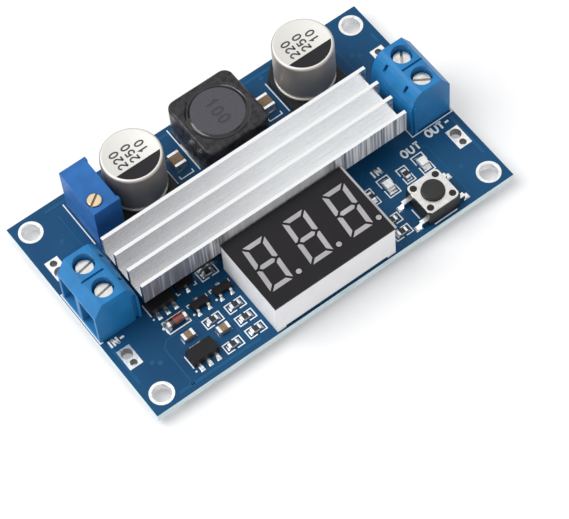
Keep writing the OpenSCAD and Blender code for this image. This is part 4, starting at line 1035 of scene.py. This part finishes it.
def sintered(name, colour, rough, varnish=0.0):
    """Pressed and fired ferrite: speckled grey with fine pores. Varnish, where there is some, lies on it in
    patches that shade the colour and the gloss by that share."""
    finish, tree, shader = start_finish(name, colour, rough, Specular_IOR_Level=0.3)
    where = place(tree)
    speckle = spread(cloud(where, 0.22 * mm, 4), 0.35, 0.65)
    patches = spread(cloud(where, 0.9 * mm, 4), 0.38, 0.62)
    ends = [shaded(colour, share) for share in (0.82 * (1 - varnish), 1 + varnish)]
    mottle = calc("ADD", calc("MULTIPLY", speckle, 1 - varnish), calc("MULTIPLY", patches, varnish))
    feed(shader, "Base Color", between(mottle, *ends))
    feed(shader, "Roughness", spread(mottle, 0, 1, rough + 0.1, rough - 0.05 - 0.2 * varnish))
    relief(shader, mottle, 0.012 * mm, 0.15 * mm)
    return finish


def enamelled(name, colour, wire):
    """Enamelled copper wire: turns stacked along Z as a wave in the height, with painted shade darkening the
    grooves between turns.
    """
    finish, tree, shader = start_finish(name, colour, 0.3, 0.8, Coat_Weight=0.6)
    turns = waves(place(tree), wire, "Z")
    # Painted shade in the grooves between the turns
    feed(shader, "Base Color", between(turns, shaded(colour, 0.7), colour))
    relief(shader, turns, 0.1 * mm)
    return finish


low, high = np.array(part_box("inductor_shield"))
middle = (low + high) / 2
shield = sintered("shield_ferrite", ferrite_grey, 0.38, 0.75)
ring = put("inductor_ferrite_ring", [ferrite_ring(low, high)], shield, smooth=40)
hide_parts("inductor_shield")
dress(sintered("drum_ferrite", drum_grey, 0.5), "inductor_core")
dress(enamelled("winding_copper", copper_brown, wire_size), "inductor_winding")
dress(lead_tin, "inductor_terminals")
mark = words("100", middle[:2], *mark_type, print_rise, high[2] - mark_foot, -math.pi / 2)
put("inductor_print", mark, printed_ink("inductor_ink", mark_grey))
drum_low, drum_high = np.array(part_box("inductor_core"))
bead = glue_ring((*middle[:2], 0), (drum_high[0] - drum_low[0]) / 2, bore_radius + bore_chamfer, high[2])
glue = moulded("ferrite_glue", glue_black, 0.14, 0.0, 0.008 * mm, Specular_IOR_Level=0.6)
put("inductor_glue", [bead], glue, smooth=60)


# Trimmer
# A multi-turn potentiometer in a blue moulded case, sealed, on three pins. A brass lead screw
# stands out of the case beside one end and turns without stop.

trimmer_blue = (50, 110, 180)
brass = (246, 220, 182)
trimmer_turn = 34
trimmer_screw = {
    "head": 1.7 * mm, "shaft": 1.0 * mm, "chamfer": 0.12 * mm, "half": 0.19 * mm, "depth": 0.45 * mm,
    "pitch": 0.3 * mm, "cut": 0.05 * mm,
}
case_look = {"flow_shade": 0.86, "Specular_IOR_Level": 0.15}
dress(moulded("trimmer_case", trimmer_blue, 0.42, 0.14 * mm, **case_look), "trimmer_body")
dress(lead_tin, "trimmer_pins")
shape = slotted_screw("trimmer_screw", trimmer_turn, **trimmer_screw)
screw_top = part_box("trimmer_screw")[1][2] - trimmer_screw["chamfer"]
brass_finish = plated("screw_brass", brass, 0.28, screw_top)
screw = put("trimmer_brass_screw", shape, brass_finish, "trimmer_screw", 30)
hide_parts("trimmer_screw")


# Display
# A three-digit light-emitting display: a white reflector cup with a black printed face, bars of milky
# epoxy in black wells, and a thin pale lip of epoxy that the casting left along the right edge.

bar_margin = 0.1 * mm
bar_rise = 0.02 * mm
top_slack = 0.001 * mm
lip_width = 0.36 * mm
lip_rise = 0.2 * mm
face_black = (33, 31, 34)
shell_white = (243, 243, 245)
epoxy_grey = (172, 170, 173)


def bars():
    """A bar on each segment: the segment's upper outline, put in order by angle round its middle and drawn in
    along the mitre of the two edges that meet at each corner, with a flat face above and below."""
    shapes = []
    for points in solids_of("display_segments"):
        top = points[:, 2].max()
        outline = np.unique(np.round(points[points[:, 2] > top - top_slack, :2], 7), axis=0)
        around = outline - outline.mean(0)
        outline = outline[np.argsort(np.arctan2(around[:, 1], around[:, 0]))]
        count = len(outline)
        corners, _ = sweep(outline, [(bar_margin, 0), (bar_margin, bar_rise)], top, closed=True)
        faces = [list(range(side, 2 * count, 2)) for side in (0, 1)]
        shapes.append((corners, faces + grid(count, 2, across=True)))
    return shapes


face_print = moulded("display_face", face_black, 0.42, 0.06 * mm, 0.004 * mm, Specular_IOR_Level=0.14)
dress(moulded("display_shell", shell_white, 0.45, 0.15 * mm, flow_shade=0.975), "display_shell")
dress(face_print, "display_face", "display_segments")
milky_epoxy = moulded("display_epoxy", epoxy_grey, 0.35, 0.03 * mm, 0.003 * mm)
put("display_bars", bars(), milky_epoxy)
low, high = np.array(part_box("display_face"))
edge = high[0] + lip_width / 2
lip = ribbon([(edge, low[1]), (edge, high[1])], lip_width, lip_rise, high[2] - lip_rise)
put("display_lip", [lip], milky_epoxy)
dress(lead_tin, "display_pins")


# Push button
# A tact switch: a black moulded base with heat-staked studs that hold a pressed steel cover, a
# domed spring under it, and a round black cap that travels a quarter of a millimetre.

cap_round = 0.3 * mm
flange_height = 0.5 * mm
flange_out = 0.3 * mm
cap_black = (44, 43, 44)
cover_steel = (232, 230, 227)
dome_steel = (200, 200, 198)


def button(low, high):
    """A flanged stem with a round top edge, turned about its axis."""
    flange = (high[0] - low[0]) / 2
    stem = flange - flange_out
    step = low[2] + flange_height
    foot = [(0, low[2]), (flange, low[2]), (flange, step), (stem, step)]
    shoulder = arc((stem - cap_round, high[2] - cap_round), cap_round, 0, 90, 7)
    return lathe([*foot, *shoulder, (0, high[2])], (*((low + high) / 2)[:2], 0), even_turn(64))


low, high = np.array(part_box("button_cap"))
cap_plastic = moulded("button_plastic", cap_black, 0.5)
cap = put("button_round_cap", [button(low, high)], cap_plastic, "button", 40)
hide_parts("button_cap")
dress(base_plastic, "button_base")
dress(plated("cover_steel", cover_steel, 0.36), "button_cover")
dress(plated("dome_steel", dome_steel, 0.25), "button_dome")
dress(lead_tin, "button_legs")


# Chips and regulators
# The switching controller, the voltmeter's chip, two regulators and three small transistors, all
# moulded in black epoxy on tinned lead frames and soldered flat on the board.

chip_epoxy = moulded("chip_epoxy", package_black, 0.55, 0.05 * mm, Specular_IOR_Level=0.2)
for name in ("controller", "meter_chip", "gate_regulator", "meter_regulator"):
    dress(chip_epoxy, name + "_body")
    dress(lead_tin, name + "_leads")
dress(chip_epoxy, "transistor_bodies")
dress(lead_tin, "transistor_leads")


# Chip resistors and ceramics
# Resistors are alumina chips with a black glazed film on top. Ceramic capacitors are fired blocks
# of tan layers. Both have tinned ends.

glaze_black = (34, 33, 34)
alumina_white = (222, 220, 214)
ceramic_tan = (150, 126, 100)


def glazed(name, top, sides):
    """A chip with a glazed film on its upper face and bare ceramic on its sides."""
    finish, tree, shader = start_finish(name, top, 0.35)
    on_top = calc("GREATER_THAN", upward(tree), 0.5)
    grain = spread(cloud(place(tree), 0.2 * mm, 3))
    film = between(grain, shaded(top, 0.8), top)
    bare = between(grain, shaded(sides, 0.9), sides)
    feed(shader, "Base Color", between(on_top, bare, film))
    feed(shader, "Roughness", spread(grain, 0, 1, 0.45, 0.3))
    relief(shader, grain, 0.006 * mm, 0.05 * mm)
    return finish


end_tin = tinned("end_tin", 0.32, 0.012 * mm, 0.3 * mm)
dress(glazed("resistor_glaze", glaze_black, alumina_white), "resistor_bodies")
dress(sintered("ceramic_tan", ceramic_tan, 0.5), "ceramic_bodies")
dress(end_tin, "resistor_ends", "ceramic_ends")


# Glass diode
# A die between two slugs sealed in a tube of reddish glass, with tinned end caps. A black band
# marks one end.

glass_swell = 0.05 * mm
band_width = 0.5 * mm
band_place = 0.5 * mm
band_black = (30, 28, 28)
glass_red = (150, 62, 40)


def glass_tube(low, high):
    """A sealed tube along X whose radius swells by a half sine towards its middle."""
    along = np.linspace(0, 1, 17)
    radius = (high[2] - low[2]) / 2 - glass_swell * (1 - np.sin(np.pi * along))
    wall = np.stack([radius, low[0] + along * (high[0] - low[0])], 1)
    centre = (0, *((low + high) / 2)[1:])
    return lathe([(0, low[0]), *wall, (0, high[0])], centre, even_turn(40), "X")


def tinted_glass(name, colour, band_at):
    """Red glass with a faint swirl, and a painted band around one end."""
    finish, tree, shader = start_finish(name, colour, 0.12, Coat_Weight=1.0, Coat_Roughness=0.05)
    where = place(tree, (band_at, 0, 0))
    band = calc("LESS_THAN", calc("ABSOLUTE", xyz(where)[0]), band_width / 2)
    swirl = spread(cloud(where, 0.5 * mm))
    glass = between(swirl, shaded(colour, 0.65), colour)
    feed(shader, "Base Color", between(band, glass, band_black))
    relief(shader, swirl, 0.004 * mm)
    return finish


low, high = np.array(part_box("glass_diode_body"))
glass = tinted_glass("diode_glass", glass_red, low[0] + band_place)
tube = put("glass_diode_tube", [glass_tube(low, high)], glass, smooth=50)
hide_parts("glass_diode_body")
dress(end_tin, "glass_diode_caps")


# Indicator lamps
# Light-emitting diodes in chip form: a white substrate with plated ends, and a clear milky block
# of epoxy moulded over the die.

lens_white = (253, 255, 254)
end_pale = (236, 236, 228)
substrate_height = 0.41 * mm


def lamp_epoxy(name, lens, ends, foot, height):
    """Milky epoxy above the substrate, and pale plating below its height, which is measured from a foot."""
    finish, tree, shader = start_finish(name, lens, 0.25, Coat_Weight=0.4)
    above = calc("GREATER_THAN", xyz(place(tree, (0, 0, foot)))[2], height)
    milk = spread(cloud(place(tree), 0.4 * mm))
    clear = between(milk, shaded(lens, 0.93), lens)
    feed(shader, "Base Color", between(above, ends, clear))
    relief(shader, milk, 0.004 * mm, 0.08 * mm)
    return finish


dress(lamp_epoxy("lamp_epoxy", lens_white, end_pale, board_top, substrate_height), "indicator_leds")


# Studio
# A broad pale sheet of paper under the module, an overhead soft box behind it to the left, and even
# light all round. The camera looks down on the front left corner through a long lens.

paper_size = 3.0
paper_white = (249, 249, 250)
paper_glow = 0.3
softbox_size = 0.8
softbox_place = (-0.55, 0.35, 0.92)
softbox_power = 9.6
fill_light = 0.64


def seen_directly(tree):
    """1 for rays that show the surface to the eye, straight or by way of metal or glass, and 0 for light."""
    kinds = add(tree, "LightPath")
    shown = calc("MAXIMUM", kinds["Is Camera Ray"], kinds["Is Glossy Ray"])
    return calc("MAXIMUM", shown, kinds["Is Transmission Ray"])


def paper(name, colour):
    """Matt white paper with a trace of tooth, lifted towards white where it is seen so that the shadow stays
    faint."""
    finish, tree, shader = start_finish(name, colour, 0.9, Specular_IOR_Level=0.1)
    tooth = cloud(place(tree), 2 * mm)
    feed(shader, "Base Color", between(tooth, shaded(colour, 0.99), colour))
    glow = add(tree, "Emission", {"Strength": 1.0})[0]
    share = spread(seen_directly(tree), 0, 1, 0, paper_glow)
    mixed = add(tree, "MixShader", {0: share, 1: shader.outputs[0], 2: glow})[0]
    feed(tree.nodes["Material Output"], "Surface", mixed)
    return finish


sheet_x, sheet_y = np.meshgrid(np.linspace(-1, 1, 3), np.linspace(-1, 1, 3))
sheet_points = np.dstack([sheet_x, sheet_y, np.zeros((3, 3))]).reshape(-1, 3) * paper_size / 2
sheet_mesh = bpy.data.meshes.new("floor")
sheet_mesh.from_pydata(sheet_points.tolist(), [], grid(3, 3))
sheet_mesh.materials.append(paper("floor_paper", paper_white))
floor = bpy.data.objects.new("floor", sheet_mesh)
bpy.context.scene.collection.objects.link(floor)

lamp = bpy.data.lights.new("softbox", "AREA")
lamp.size = softbox_size
lamp.energy = softbox_power
softbox = bpy.data.objects.new("softbox", lamp)
softbox.location = softbox_place
softbox.rotation_euler = Vector(softbox_place).to_track_quat("Z", "Y").to_euler()
bpy.context.scene.collection.objects.link(softbox)

world = bpy.data.worlds.new("studio")
bpy.context.scene.world = world
world.use_nodes = True
sky = world.node_tree.nodes["Background"]
sky.inputs["Color"].default_value = (1, 1, 1, 1)
feed(sky, "Strength", spread(seen_directly(world.node_tree), 0, 1, fill_light, 1.0))

focal_pixels = 2578.26
picture_width = 569
sensor = 36.0
look_at = Vector((-3.107 * mm, -10.612 * mm, board_top))
distance = 395.88 * mm
tilt, swing, roll = (math.radians(angle) for angle in (29.918, -31.064, -6.278))
facing = Euler((tilt, 0, swing)).to_matrix().to_4x4()
away = facing @ Vector((0, 0, distance))
lens = bpy.data.cameras.new("camera")
lens.sensor_width = sensor
lens.lens = focal_pixels * sensor / picture_width
camera = bpy.data.objects.new("camera", lens)
camera.matrix_world = Matrix.Translation(look_at + away) @ facing @ Matrix.Rotation(roll, 4, "Z")
bpy.context.scene.collection.objects.link(camera)
bpy.context.scene.camera = camera
bpy.context.scene.view_settings.view_transform = "Standard"
